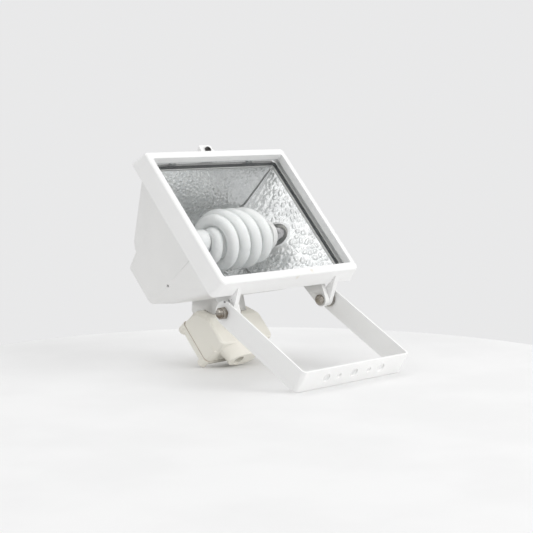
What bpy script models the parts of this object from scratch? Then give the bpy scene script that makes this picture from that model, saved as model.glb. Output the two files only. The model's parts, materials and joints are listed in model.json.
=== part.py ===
"""Wall floodlight on a U-bracket: cast housing, glazed front frame, hammered reflector,
double-ended spiral lamp and a terminal box on the back. Metres, +Z up."""
import bpy
import bmesh
import math
import numpy as np
from mathutils import Vector

# Driving dimensions. The head is drawn in face coordinates: x across, y the depth behind
# the front plane, z the height above the middle of the front frame.
FIT = 0.0003                 # gap between pieces that touch
TILT = math.radians(41.5)    # how far the front leans back from upright

FRAME_WIDTH = 0.180
FRAME_HEIGHT = 0.146
FRAME_DEPTH = 0.017
FRAME_DRAFT_X = 0.0036       # each side, wider at the back
FRAME_DRAFT_Z = 0.0020
FRAME_CORNER = 0.004
FRAME_EDGE = 0.0010          # small round of the front edge
FRAME_WALL = 0.0028
FRAME_LIP_X = 0.006
FRAME_LIP_Z = 0.0075
FRAME_LIP_DEPTH = 0.0072

SEAL_THICK = 0.0006
SEAL_WIDTH = 0.0018
GLASS_THICK = 0.004
GLASS_BITE = 0.0018          # how far the glass goes past the opening
CLIP_X = 0.050
CLIP_WIDTH = 0.008
CLIP_THICK = 0.0005
CLIP_INSET = 0.0030          # clip screw, in from the frame's outside
CLIP_BITE = 0.0008
CLIP_SCREW_HEAD_RADIUS = 0.0013
CLIP_SCREW_HEAD_LENGTH = 0.0010
CLIP_SCREW_RADIUS = 0.0006
CLIP_SCREW_LENGTH = 0.0035
CLIP_HOLE_RADIUS = CLIP_SCREW_RADIUS + FIT
CLIP_BORE_RADIUS = CLIP_SCREW_HEAD_RADIUS
BOSS_RADIUS = 0.0024
GASKET_THICK = 0.0026
GASKET_WIDTH = 0.0017

HOUSING_WALL = 0.0026
FLANGE_GAP = 0.0012          # flange to the skirt of the frame
FLANGE_THICK = 0.004
FLANGE_CHAMFER = 0.0040
SHOULDER_INSET_X = 0.0040    # the casting behind its flange, in from the frame
SHOULDER_INSET_Z = 0.0035
SHOULDER_CHAMFER = 0.0038
SHOULDER_SIDE_Z = 0.031      # half height of the upright side face there
STEP_DEPTH = 0.080           # depth of the step in the roof
STEP_INSET_X = 0.0095        # and how far the casting has closed in there
STEP_INSET_Z = 0.0325
STEP_CHAMFER = 0.0055
STEP_SIDE_Z = 0.025
SHOULDER_X = FRAME_WIDTH / 2 - SHOULDER_INSET_X
SHOULDER_Z = FRAME_HEIGHT / 2 - SHOULDER_INSET_Z
SHOULDER_TOP_X = SHOULDER_X - SHOULDER_CHAMFER
STEP_X = SHOULDER_X - STEP_INSET_X
STEP_Z = SHOULDER_Z - STEP_INSET_Z
STEP_TOP_X = STEP_X - STEP_CHAMFER
BACK_DEPTH = 0.1010
BACK_Z = 0.0212
BACK_ROUND = 0.0022
CORNER_CUT = 0.0022          # the casting's corners after the step
CASTING_ROUND = 0.005        # round along the edges of the casting
DRAIN_RADIUS = 0.0014

HINGE_DEPTH = 0.0322
HINGE_BELOW = 0.0092         # the hinge below the frame
HINGE_DROP = FRAME_HEIGHT / 2 + HINGE_BELOW
BOLT_RADIUS = 0.003
BOLT_HEAD_RADIUS = 0.0048
BOLT_HEAD_LENGTH = 0.0038
LUG_THICK = 0.005
LUG_RADIUS = 0.0062
LUG_FOOT = 0.0090            # the lug's foot behind the hinge
WASHER_THICK = 0.0016
WASHER_RADIUS = 0.0072
NUT_ACROSS_FLATS = 0.010
NUT_HEX_LENGTH = 0.0045
NUT_LENGTH = 0.0078
NUT_DOME_RADIUS = 0.0045

BRACKET_INSET = 0.0190
BRACKET_HALF_WIDTH = FRAME_WIDTH / 2 - BRACKET_INSET
BRACKET_THICK = 0.002
BRACKET_STRIP = 0.021
BRACKET_REACH = 0.1011
BRACKET_BEND = 0.004
BASE_HOLE_PITCH = 0.0365
BASE_HOLE_RADIUS = 0.004
SMALL_HOLE_X = 0.020
SMALL_HOLE_RADIUS = 0.0025

LAMP_CLEAR = 0.0011          # lamp to the glass
LAMP_HEIGHT = 0.0015
TUBE_RADIUS = 0.0057
COIL_CLEAR = 0.0078          # coil to the back of the reflector
COIL_PITCH = 0.0304          # one start; the other lies halfway
COIL_RIGHT = 0.0260
LEG_RADIUS = 0.0075
LEG_END = 0.0460
TIP_RADIUS = 0.0124
TIP_X = -0.0282
TIP_TURNS = 0.5
LEAD_TURNS = 0.55
LOOP_POINTS = 24
CAP_RADIUS = 0.0070
CONTACT_X = 0.059            # half the length over the lamp's contacts
NOSE_RADIUS = 0.0042
NOSE_LENGTH = 0.0022
BASE_LENGTH = 0.0086
BASE_LIP = 0.0008            # the base's rim past the tube
TIP_CUP_RADIUS = 0.0110
TIP_CUP_LENGTH = 0.0125

SLEEVE_RADIUS = 0.0075
SLEEVE_BORE = 0.0048
SLEEVE_FRONT = 0.0575
HOLDER_GAP = 0.0006          # block of the lampholder to the reflector's end
HOLDER_HALF_Y = 0.0085
HOLDER_HALF_Z = 0.0090
PLUNGER_RADIUS = 0.0018
PLUNGER_TRAVEL = 0.0025
PLUNGER_COLLAR_AT = 0.335    # share of its length before the collar
PLUNGER_COLLAR = 0.0020
HOLDER_BACK_WALL = 0.0025

SHEET = 0.0010               # thickness of the reflector sheet
REFLECTOR_WAIST_AT = 0.5465  # share of its depth where its walls turn in
REFLECTOR_WAIST_Z = 0.047
REFLECTOR_SHORT = 0.0017     # the reflector's back before the step in the roof
REFLECTOR_BACK = STEP_DEPTH - REFLECTOR_SHORT
CHEEK_BACK_X = 0.0426        # the end cheeks close in to here at the back
CHEEK_HOLE = 0.0105
CHEEK_SLOT = 0.0060
CHEEK_SLOT_LENGTH = 0.0200
REFLECTOR_SCREW_X = 0.025
REFLECTOR_SCREW_LENGTH = 0.0110
REFLECTOR_SCREW_IN = 0.0008
REFLECTOR_BOSS_RADIUS = 0.0045

BOX_HALF_X = 0.0365
BOX_TOP = -0.0395
BOX_BOTTOM = -0.0845
BOX_SLOPE_DEPTH = 0.0095     # the sloping face at the box's top front
BOX_SLOPE_DROP = 0.0150
BOX_FORWARD = 0.0170         # the box's front before the casting's back
BOX_DEPTH = 0.0260           # front to lid
BOX_FRONT = BACK_DEPTH - BOX_FORWARD
BOX_SPLIT = BOX_FRONT + BOX_DEPTH
BOX_WALL = 0.0022
BOX_CORNER = 0.005
BOX_TAPER = 0.0025
LID_THICK = 0.0080
LID_BACK = BOX_SPLIT + LID_THICK
EAR_X = 0.0320
EAR_TOP = -0.0430
EAR_BOTTOM = -0.0800
EAR_RADIUS = 0.0045
EAR_LENGTH = 0.0100
EAR_BACK = BOX_SPLIT + EAR_LENGTH
ENTRY_X = -0.0045
ENTRY_BEHIND = 0.0145        # the entry and the box's screws behind its front
ENTRY_DEPTH = BOX_FRONT + ENTRY_BEHIND
ENTRY_HALF_X = 0.0170
ENTRY_HALF_Y = 0.0088
ENTRY_FLARE = 1.48           # how much wider the entry is where it leaves the box
ENTRY_HOLE_X = -0.0095
ENTRY_BOTTOM = -0.0945
ENTRY_RADIUS = 0.00525
PAD_HALF_X = 0.022
PAD_SHORT = 0.0020           # the pad ends before the lid
PAD_BACK = BOX_SPLIT - PAD_SHORT
BOX_SCREW_X = 0.014
BOX_SCREW_DEPTH = ENTRY_DEPTH
BOX_SCREW_LENGTH = 0.0105
LID_SCREW_LENGTH = 0.0140
EAR_SINK = 0.0026            # how deep the lid's screw heads sit
LID_STEP = 0.0028
LID_INSET = 0.0012
WIRE_HOLE_RADIUS = 0.0045
WIRE_HOLE_BEHIND = 0.0070
WIRE_HOLE_DEPTH = BOX_FRONT + WIRE_HOLE_BEHIND
WIRE_HOLE_LENGTH = 0.0160    # through the box's wall below the pad
BLOCK_HALF_X = 0.0135
BLOCK_DEPTH = 0.0110
BLOCK_HEIGHT = 0.0120
BLOCK_RISE = 0.0170          # above the floor of the box
BLOCK_PITCH = 0.0085
CLAMP_RADIUS = 0.0021
DRIVER_RADIUS = 0.0018
LEAD_RADIUS = 0.0012
LEAD_LEVEL = 0.0195          # below the middle, where the leads turn down

SCREW_RADIUS = 0.0015
SCREW_HEAD_RADIUS = 0.0029
SCREW_HEAD_LENGTH = 0.0020
CLOSING_HEIGHT = 0.0805
CLOSING_RADIUS = 0.0020
CLOSING_HEAD_RADIUS = 0.0031
CLOSING_HEAD_LENGTH = 0.0024
CLOSING_LENGTH = 0.0084      # let go, its tip just short of the housing's lug
LATCH_HALF_X = 0.0080
LATCH_RISE = 0.0065          # the lugs above the closing screw
LATCH_FRONT = 0.0090
LATCH_THICK = 0.0036
LATCH_LUG_THICK = 0.0045
LATCH_FOOT = 0.0110          # the door's lug is wider on the right at its foot

# Places worked out from the dimensions above
OPEN_X = FRAME_WIDTH / 2 - FRAME_LIP_X
OPEN_Z = FRAME_HEIGHT / 2 - FRAME_LIP_Z
SEAL_Y = FRAME_LIP_DEPTH + FIT
GLASS_Y = SEAL_Y + SEAL_THICK + FIT
GLASS_X = OPEN_X + GLASS_BITE + 0.0007
GLASS_Z = OPEN_Z + GLASS_BITE
GLASS_BACK = GLASS_Y + GLASS_THICK
GASKET_Y = GLASS_BACK + FIT
RIM_Y = GASKET_Y + GASKET_THICK + FIT
FLANGE_BACK = RIM_Y + FLANGE_THICK
GASKET_X = OPEN_X + 0.0013
GASKET_Z = OPEN_Z + 0.0008
MOUTH_X = GASKET_X - GASKET_WIDTH - FIT
MOUTH_Z = GASKET_Z - GASKET_WIDTH - FIT


def skirt(depth, inset=0.0):
    """Half width and half height of the frame's outside at a depth."""
    part = depth / FRAME_DEPTH
    half_x = FRAME_WIDTH / 2 + FRAME_DRAFT_X * part - inset
    half_z = FRAME_HEIGHT / 2 + FRAME_DRAFT_Z * part - inset
    return half_x, half_z


FLANGE_X = skirt(RIM_Y)[0] - FRAME_WALL - FLANGE_GAP
FLANGE_Z = skirt(RIM_Y)[1] - FRAME_WALL - FLANGE_GAP
CLIP_Z = skirt(GASKET_Y)[1] - FRAME_WALL - CLIP_INSET + 0.0012
NUT_FACE = BRACKET_HALF_WIDTH + FIT
WASHER_X = BRACKET_HALF_WIDTH - BRACKET_THICK - FIT - WASHER_THICK
DOOR_ARM_X = WASHER_X - FIT - LUG_THICK
HOUSING_LUG_X = DOOR_ARM_X - FIT - LUG_THICK
BOLT_FACE = HOUSING_LUG_X - FIT
REFLECTOR_FRONT = RIM_Y + FIT
REFLECTOR_WAIST_Y = REFLECTOR_FRONT + REFLECTOR_WAIST_AT * (REFLECTOR_BACK - REFLECTOR_FRONT)
LAMP_DEPTH = (GLASS_BACK + LAMP_CLEAR + REFLECTOR_BACK - COIL_CLEAR) / 2
COIL_RADIUS = REFLECTOR_BACK - LAMP_DEPTH - COIL_CLEAR - TUBE_RADIUS
REFLECTOR_Z = MOUTH_Z - SHEET - FIT
CHEEK_FRONT_X = MOUTH_X - SHEET - FIT
LATCH_BACK = FRAME_DEPTH + 2 * FIT


def cheek_x(depth):
    """Half width of the reflector's end cheeks at a depth."""
    part = (depth - REFLECTOR_FRONT) / (REFLECTOR_BACK - REFLECTOR_FRONT)
    return CHEEK_FRONT_X + (CHEEK_BACK_X - CHEEK_FRONT_X) * part


HOLDER_BODY_X = cheek_x(LAMP_DEPTH - HOLDER_HALF_Y) + HOLDER_GAP


for old in list(bpy.data.objects):
    bpy.data.objects.remove(old, do_unlink=True)


# Materials
def material(name, colour, roughness, metallic=0.0, alpha=1.0):
    made = bpy.data.materials.new(name)
    made.use_nodes = True
    shader = made.node_tree.nodes["Principled BSDF"]
    shader.inputs["Base Color"].default_value = (*colour, 1.0)
    shader.inputs["Roughness"].default_value = roughness
    shader.inputs["Metallic"].default_value = metallic
    shader.inputs["Alpha"].default_value = alpha
    return made


WHITE_PAINT = material("white_paint", (0.86, 0.86, 0.85), 0.35)
CREAM_PLASTIC = material("cream_plastic", (0.84, 0.81, 0.72), 0.45)
CLEAR_GLASS = material("clear_glass", (0.85, 0.93, 0.90), 0.05, 0.0, 0.25)
HAMMERED = material("hammered_aluminium", (0.80, 0.81, 0.82), 0.25, 1.0)
LAMP_WHITE = material("lamp_coating", (0.90, 0.92, 0.91), 0.30)
LAMP_PLASTIC = material("lamp_plastic", (0.85, 0.85, 0.83), 0.40)
CERAMIC = material("ceramic", (0.82, 0.80, 0.76), 0.55)
STEEL = material("bright_steel", (0.62, 0.60, 0.57), 0.28, 1.0)
DARK_STEEL = material("dark_steel", (0.20, 0.20, 0.20), 0.45, 1.0)
CHROME = material("chrome_sleeve", (0.75, 0.76, 0.78), 0.15, 1.0)
BRASS = material("brass_contact", (0.72, 0.56, 0.30), 0.30, 1.0)
RUBBER = material("silicone", (0.70, 0.72, 0.72), 0.70)
WIRE_SLEEVE = material("wire_sleeve", (0.80, 0.78, 0.72), 0.60)


# Frames of the joints
def empty(name, parent=None, location=(0, 0, 0), turn_x=0.0):
    made = bpy.data.objects.new(name, None)
    bpy.context.scene.collection.objects.link(made)
    made.parent = parent
    made.location = location
    made.rotation_euler = (turn_x, 0, 0)
    return made


STAND = empty("stand")
BRACKET = empty("bracket_pivot", STAND)
HEAD = empty("head_pivot", STAND, turn_x=-TILT)
DOOR = empty("door_pivot", STAND, turn_x=-TILT)
FACE = Vector((0.0, -HINGE_DEPTH, HINGE_DROP))
SIDES = (("left", -1), ("right", 1))


# Mesh building
def add(name, bm, paint, parent=None, location=(0, 0, 0), guide=False):
    """Turn a bmesh into an object, its faces pointing out."""
    bmesh.ops.recalc_face_normals(bm, faces=bm.faces)
    mesh = bpy.data.meshes.new(name)
    bm.to_mesh(mesh)
    bm.free()
    mesh.shade_smooth()
    mesh.set_sharp_from_angle(angle=math.radians(32))
    made = bpy.data.objects.new(name, mesh)
    bpy.context.scene.collection.objects.link(made)
    made.parent = parent
    made.location = location
    if paint:
        mesh.materials.append(paint)
    if guide:
        made.hide_render = True
        made.display_type = "WIRE"
    return made


def rings_body(rings, closed=False, bm=None):
    """Skin a row of rings of equal length; cap both ends, or join last to first."""
    bm = bm or bmesh.new()
    rows = [[bm.verts.new(point) for point in ring] for ring in rings]
    count = len(rows[0])
    pairs = list(zip(rows, rows[1:]))
    if closed:
        pairs.append((rows[-1], rows[0]))
    for low, high in pairs:
        for i in range(count):
            j = (i + 1) % count
            bm.faces.new((low[i], low[j], high[j], high[i]))
    if not closed:
        bm.faces.new(rows[0])
        bm.faces.new(rows[-1])
    return bm


def prism(outline, axis, low, high, bm=None):
    """Extrude an outline along an axis; its two numbers are the other two axes in order."""
    def place(pair, along):
        point = list(pair)
        point.insert("xyz".index(axis), along)
        return point
    return rings_body([[place(pair, along) for pair in outline] for along in (low, high)], bm=bm)


def box(x, y, z, bm=None):
    """A box from three (low, high) pairs."""
    outline = ((x[0], y[0]), (x[1], y[0]), (x[1], y[1]), (x[0], y[1]))
    return prism(outline, "z", z[0], z[1], bm=bm)


def circle(radius, count, centre=(0.0, 0.0), phase=0.0):
    turns = [phase + 2 * math.pi * i / count for i in range(count)]
    return [(centre[0] + radius * math.cos(t), centre[1] + radius * math.sin(t)) for t in turns]


def rod(radius, axis, low, high, centre=(0.0, 0.0), count=24, bm=None):
    return prism(circle(radius, count, centre), axis, low, high, bm=bm)


def turned(profile, axis="x", centre=(0.0, 0.0), count=24, hexes=(), closed=False):
    """Turn a row of (along, radius) about an axis. Rows named in hexes are six-sided."""
    rings = []
    for index, (along, radius) in enumerate(profile):
        ring = []
        for i in range(count):
            turn = 2 * math.pi * i / count
            reach = radius
            if index in hexes:
                off = (turn + math.pi / 6) % (math.pi / 3) - math.pi / 6
                reach = radius / math.cos(off)
            pair = [centre[0] + reach * math.cos(turn), centre[1] + reach * math.sin(turn)]
            pair.insert("xyz".index(axis), along)
            ring.append(pair)
        rings.append(ring)
    return rings_body(rings, closed=closed)


def rounded(corners, radius, steps=3):
    """Round each corner of a polygon with an arc, limited by its shorter edge."""
    made = []
    count = len(corners)
    for i in range(count):
        here = Vector(corners[i])
        before = Vector(corners[i - 1]) - here
        after = Vector(corners[(i + 1) % count]) - here
        half = before.angle(after) / 2
        run = min(radius / math.tan(half), 0.45 * before.length, 0.45 * after.length)
        reach = run * math.tan(half)
        middle = here + (before.normalized() + after.normalized()).normalized() * (reach / math.sin(half))
        start = here + before.normalized() * run - middle
        end = here + after.normalized() * run - middle
        for step in range(steps):
            part = step / (steps - 1)
            spoke = start.lerp(end, part).normalized() * reach
            made.append(tuple(middle + spoke))
    return made


def rectangle(half_x, half_z, radius, steps=4):
    corners = ((-half_x, -half_z), (half_x, -half_z), (half_x, half_z), (-half_x, half_z))
    return rounded(corners, radius, steps)


def at_depth(outline, depth):
    return [(x, depth, z) for x, z in outline]


def boolean(target, tools, operation):
    """Cut or join hidden tool objects into a target."""
    for tool in tools:
        change = target.modifiers.new(tool.name, "BOOLEAN")
        change.operation = operation
        change.object = tool
        change.solver = "EXACT"


def tool(name, bm, owner):
    """A hidden cutter or joining shape, placed like its owner."""
    return add(name, bm, None, owner.parent, owner.location, guide=True)


def screw(name, parent, seat, direction, length, paint, head=SCREW_HEAD_RADIUS,
          shank=SCREW_RADIUS, head_length=SCREW_HEAD_LENGTH):
    """A pan-head screw: seat is the point under its head, direction the way it is driven."""
    profile = ((-head_length, head * 0.72), (-head_length * 0.6, head), (0.0, head),
               (0.0, shank), (length, shank))
    made = add(name, turned(profile, "z", count=12), paint, parent)
    made.location = FACE + Vector(seat)
    made.rotation_euler = Vector(direction).to_track_quat("Z", "Y").to_euler()
    return made


def hermite(start, end, slope_start, slope_end, part):
    a = part * part
    b = a * part
    return ((2 * b - 3 * a + 1) * start + (b - 2 * a + part) * slope_start
            + (3 * a - 2 * b) * end + (b - a) * slope_end)


# Bracket: a bent strip, its arm ends rounded about the hinge
def build_bracket():
    half = BRACKET_HALF_WIDTH
    inner = half - BRACKET_THICK
    floor = -BRACKET_REACH
    top = BRACKET_STRIP / 2 + 0.001
    path = rounded(((-half, top), (-half, floor), (half, floor), (half, top)), BRACKET_BEND, 4)
    bend = BRACKET_BEND - BRACKET_THICK
    lid = floor + BRACKET_THICK
    back = rounded(((inner, top), (inner, lid), (-inner, lid), (-inner, top)), bend, 4)
    outer = [(-half, top)] + path[4:12] + [(half, top)]
    inside = [(inner, top)] + back[4:12] + [(-inner, top)]
    strip = prism(outer + inside, "y", -BRACKET_STRIP / 2, BRACKET_STRIP / 2)
    made = add("bracket", strip, WHITE_PAINT, BRACKET)
    reach = BRACKET_STRIP / 2 - 0.00005
    arc = [(reach * math.cos(t), reach * math.sin(t)) for t in np.linspace(0.0, math.pi, 13)]
    stadium = arc + [(-reach * 1.2, 0.0), (-reach * 1.2, floor - 0.01), (reach * 1.2, floor - 0.01),
                     (reach * 1.2, 0.0)]
    shape = tool("arm_shape", prism(stadium, "x", -half - 0.01, half + 0.01), made)
    boolean(made, [shape], "INTERSECT")
    holes = [tool("hinge_hole", rod(BOLT_RADIUS + FIT, "x", -half - 0.01, half + 0.01), made)]
    pitch = BASE_HOLE_PITCH
    places = [(x, BASE_HOLE_RADIUS) for x in (-pitch, 0.0, pitch)]
    places += [(x, SMALL_HOLE_RADIUS) for x in (-SMALL_HOLE_X, SMALL_HOLE_X)]
    for x, radius in places:
        holes.append(tool("base_hole", rod(radius, "z", floor - 0.01, floor + 0.01, (x, 0.0), 20), made))
    boolean(made, holes, "DIFFERENCE")
    return made


def build_hinge(side, sign):
    """Bolt, washer and acorn nut on one side; the bolt carries all three hinged parts."""
    def along(*values):
        return [sign * value for value in values]
    nut_end = NUT_FACE + NUT_LENGTH
    shank_end = NUT_FACE + NUT_LENGTH - 0.0022
    head, face, tip = along(BOLT_FACE - BOLT_HEAD_LENGTH, BOLT_FACE, shank_end)
    near = head + sign * BOLT_HEAD_LENGTH * 0.4
    profile = ((head, BOLT_HEAD_RADIUS * 0.6), (near, BOLT_HEAD_RADIUS), (face, BOLT_HEAD_RADIUS),
               (face, BOLT_RADIUS), (tip, BOLT_RADIUS))
    add("hinge_bolt_" + side, turned(profile), STEEL, HEAD)
    low, high = along(WASHER_X, WASHER_X + WASHER_THICK)
    bore = BOLT_RADIUS + FIT
    ring = ((low, bore), (low, WASHER_RADIUS), (high, WASHER_RADIUS), (high, bore))
    add("hinge_washer_" + side, turned(ring, closed=True), STEEL, HEAD)
    flats = NUT_ACROSS_FLATS / 2
    dome = NUT_FACE + NUT_HEX_LENGTH
    rows = [(NUT_FACE, bore), (NUT_FACE, flats), (dome - 0.0004, flats), (dome, NUT_DOME_RADIUS)]
    for part in (0.35, 0.7, 0.92):
        rise = (nut_end - dome) * math.sin(part * math.pi / 2)
        rows.append((dome + rise, NUT_DOME_RADIUS * math.cos(part * math.pi / 2)))
    rows = [(sign * x, radius) for x, radius in rows]
    inside = [(sign * (shank_end + FIT), bore * 0.5), (sign * (shank_end + FIT), bore)]
    nut = turned(inside + rows, hexes=(3, 4))
    add("acorn_nut_" + side, nut, STEEL, HEAD)


# Housing: two skins of eight-sided sections, flange outside, bosses inside
def octagon(side_x, side_z, top_x, top_z, low_z, radius, low_side=None, low_x=None):
    low_side = side_z if low_side is None else low_side
    low_x = top_x if low_x is None else low_x
    corners = ((-side_x, -low_side), (-low_x, -low_z), (low_x, -low_z), (side_x, -low_side),
               (side_x, side_z), (top_x, top_z), (-top_x, top_z), (-side_x, side_z))
    return rounded(corners, radius, 3)


def casting_side(depth):
    """Half width of the casting's side face at a depth."""
    part = (depth - FLANGE_BACK) / (STEP_DEPTH - FLANGE_BACK)
    return SHOULDER_X + (STEP_X - SHOULDER_X) * part


def casting_floor(depth):
    """Depth below the middle of the casting's underside."""
    if depth <= STEP_DEPTH:
        part = (depth - FLANGE_BACK) / (STEP_DEPTH - FLANGE_BACK)
        return SHOULDER_Z + (STEP_Z - SHOULDER_Z) * part
    part = (depth - STEP_DEPTH) / (BACK_DEPTH - STEP_DEPTH)
    return STEP_Z + (BACK_Z - STEP_Z) * part


def section(depth, inset, stepped):
    """One section of the casting; after the step its roof is down at the side faces."""
    wide = casting_side(depth)
    floor = casting_floor(depth)
    part = (depth - FLANGE_BACK) / (STEP_DEPTH - FLANGE_BACK)
    side_z = SHOULDER_SIDE_Z + (STEP_SIDE_Z - SHOULDER_SIDE_Z) * part
    top_x = SHOULDER_TOP_X + (STEP_TOP_X - SHOULDER_TOP_X) * part
    top_z = floor
    low_x = top_x
    low_side = side_z
    if stepped:
        part = (depth - STEP_DEPTH) / (BACK_DEPTH - STEP_DEPTH)
        top_x = wide - CORNER_CUT
        top_z = STEP_SIDE_Z + (BACK_Z - STEP_SIDE_Z) * part
        side_z = top_z - CORNER_CUT
        low_x = STEP_TOP_X + (top_x - STEP_TOP_X) * part
        low_side = STEP_SIDE_Z + (BACK_Z - CORNER_CUT - STEP_SIDE_Z) * part
    round_by = max(CASTING_ROUND - inset, 0.001)
    ring = octagon(wide - inset, side_z - 0.4 * inset, top_x - 0.6 * inset, top_z - inset,
                   floor - inset, round_by, low_side - 0.4 * inset, low_x - 0.6 * inset)
    return at_depth(ring, depth)


def flange_ring(half_x, half_z, depth, cut=FLANGE_CHAMFER):
    ring = octagon(half_x, half_z - cut, half_x - cut, half_z, half_z, 0.001)
    return at_depth(ring, depth)


def shrunk(ring, depth, by_x, by_z):
    """The same ring drawn in towards its middle, for a rounded edge."""
    wide = max(point[0] for point in ring)
    high = max(point[2] for point in ring)
    return [(x * (wide - by_x) / wide, depth, z * (high - by_z) / high) for x, y, z in ring]


def build_housing():
    step = 0.0006
    last = BACK_DEPTH - BACK_ROUND
    back_ring = section(last, 0.0, True)
    outer = [flange_ring(FLANGE_X, FLANGE_Z, RIM_Y), flange_ring(FLANGE_X, FLANGE_Z, FLANGE_BACK),
             section(FLANGE_BACK, 0.0, False), section(STEP_DEPTH, 0.0, False),
             section(STEP_DEPTH + step, 0.0, True), back_ring]
    for part in (30, 60, 90):
        turn = math.radians(part)
        inward = BACK_ROUND * (1 - math.cos(turn))
        outer.append(shrunk(back_ring, last + BACK_ROUND * math.sin(turn), inward, inward))
    wall = HOUSING_WALL
    inner_last = BACK_DEPTH - wall
    inner_back = section(inner_last, wall, True)
    inner = [shrunk(inner_back, inner_last, 0.002, 0.002),
             section(inner_last - 0.003, wall, True), section(STEP_DEPTH - wall + step, wall, True),
             section(STEP_DEPTH - wall, wall, False), section(FLANGE_BACK, wall, False),
             flange_ring(MOUTH_X, MOUTH_Z, FLANGE_BACK - 0.0015, SHEET / 2),
             flange_ring(MOUTH_X, MOUTH_Z, RIM_Y, SHEET / 2)]
    made = add("housing", rings_body(inner + outer), WHITE_PAINT, HEAD, FACE)
    joins = []
    for side, sign in SIDES:
        near, far = sign * HOUSING_LUG_X, sign * (HOUSING_LUG_X + LUG_THICK)
        eye = [(HINGE_DEPTH + y, -HINGE_DROP + z) for y, z in circle(LUG_RADIUS, 20)]
        foot_front = FLANGE_BACK + 0.0008
        foot_back = HINGE_DEPTH + LUG_FOOT
        foot = [(foot_front, -casting_floor(foot_front) + wall * 0.6),
                (foot_back, -casting_floor(foot_back) + wall * 0.6)]
        outline = hull(eye + foot)
        joins.append(tool("lug_" + side, prism(outline, "x", min(near, far), max(near, far)), made))
        boss_x = sign * REFLECTOR_SCREW_X
        boss = rod(REFLECTOR_BOSS_RADIUS, "y", REFLECTOR_BACK + SHEET + FIT, BACK_DEPTH - wall / 2,
                   (boss_x, 0.0), 16)
        joins.append(tool("reflector_boss_" + side, boss, made))
    pad = [(STEP_DEPTH - 0.001, -casting_floor(STEP_DEPTH) + wall * 0.7),
           (BACK_DEPTH - 0.004, -casting_floor(BACK_DEPTH - 0.004) + wall * 0.7),
           (PAD_BACK - 0.002, BOX_TOP + 0.010), (PAD_BACK, BOX_TOP + FIT),
           (BOX_FRONT + BOX_SLOPE_DEPTH - FIT, BOX_TOP + FIT),
           (BOX_FRONT + BOX_SLOPE_DEPTH * 0.3 - FIT, BOX_TOP - BOX_SLOPE_DROP * 0.7 + FIT)]
    joins.append(tool("pad", prism(pad, "x", -PAD_HALF_X, PAD_HALF_X), made))
    lug = rounded(((-LATCH_HALF_X, -0.004), (LATCH_HALF_X, -0.004), (LATCH_HALF_X, LATCH_RISE),
                   (-LATCH_HALF_X, LATCH_RISE)), 0.004, 4)
    lug = [(x, CLOSING_HEIGHT + z) for x, z in lug]
    low_corner = [(-LATCH_HALF_X, SHOULDER_Z - 0.0015), (LATCH_HALF_X, SHOULDER_Z - 0.0015)]
    latch = prism(hull(lug + low_corner), "y", LATCH_BACK, LATCH_BACK + LATCH_LUG_THICK)
    joins.append(tool("latch_lug", latch, made))
    boolean(made, joins, "UNION")
    cuts = [tool("hinge_bore", rod(BOLT_RADIUS + FIT, "x", -0.08, 0.08, (HINGE_DEPTH, -HINGE_DROP)), made)]
    for side, sign in SIDES:
        bore_end = REFLECTOR_BACK - REFLECTOR_SCREW_IN + REFLECTOR_SCREW_LENGTH + 2 * FIT
        bore = rod(SCREW_RADIUS + FIT, "y", REFLECTOR_BACK - SHEET, bore_end,
                   (sign * REFLECTOR_SCREW_X, 0.0), 12)
        cuts.append(tool("reflector_bore_" + side, bore, made))
        bore = rod(SCREW_RADIUS + FIT, "z", BOX_TOP - 0.01, BOX_TOP + 0.0095,
                   (sign * BOX_SCREW_X, BOX_SCREW_DEPTH), 12)
        cuts.append(tool("pad_bore_" + side, bore, made))
    wire = rod(WIRE_HOLE_RADIUS, "z", BOX_TOP - WIRE_HOLE_LENGTH, -0.012, (0.0, WIRE_HOLE_DEPTH), 16)
    cuts.append(tool("wire_way", wire, made))
    closing = rod(CLOSING_RADIUS + FIT, "y", LATCH_BACK - 0.01, LATCH_BACK + 0.01,
                  (0.0, CLOSING_HEIGHT), 16)
    cuts.append(tool("closing_bore", closing, made))
    drain = rod(DRAIN_RADIUS, "x", -0.090, -0.060, (0.066, -0.0265), 12)
    cuts.append(tool("drain_hole", drain, made))
    boolean(made, cuts, "DIFFERENCE")
    return made


def hull(points):
    """Convex outline round a set of points, anticlockwise."""
    ordered = sorted(set((round(a, 7), round(b, 7)) for a, b in points))

    def half(row):
        kept = []
        for point in row:
            while len(kept) > 1 and cross(kept[-2], kept[-1], point) <= 1e-12:
                kept.pop()
            kept.append(point)
        return kept[:-1]

    def cross(a, b, c):
        return (b[0] - a[0]) * (c[1] - a[1]) - (b[1] - a[1]) * (c[0] - a[0])
    return half(ordered) + half(list(reversed(ordered)))


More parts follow.
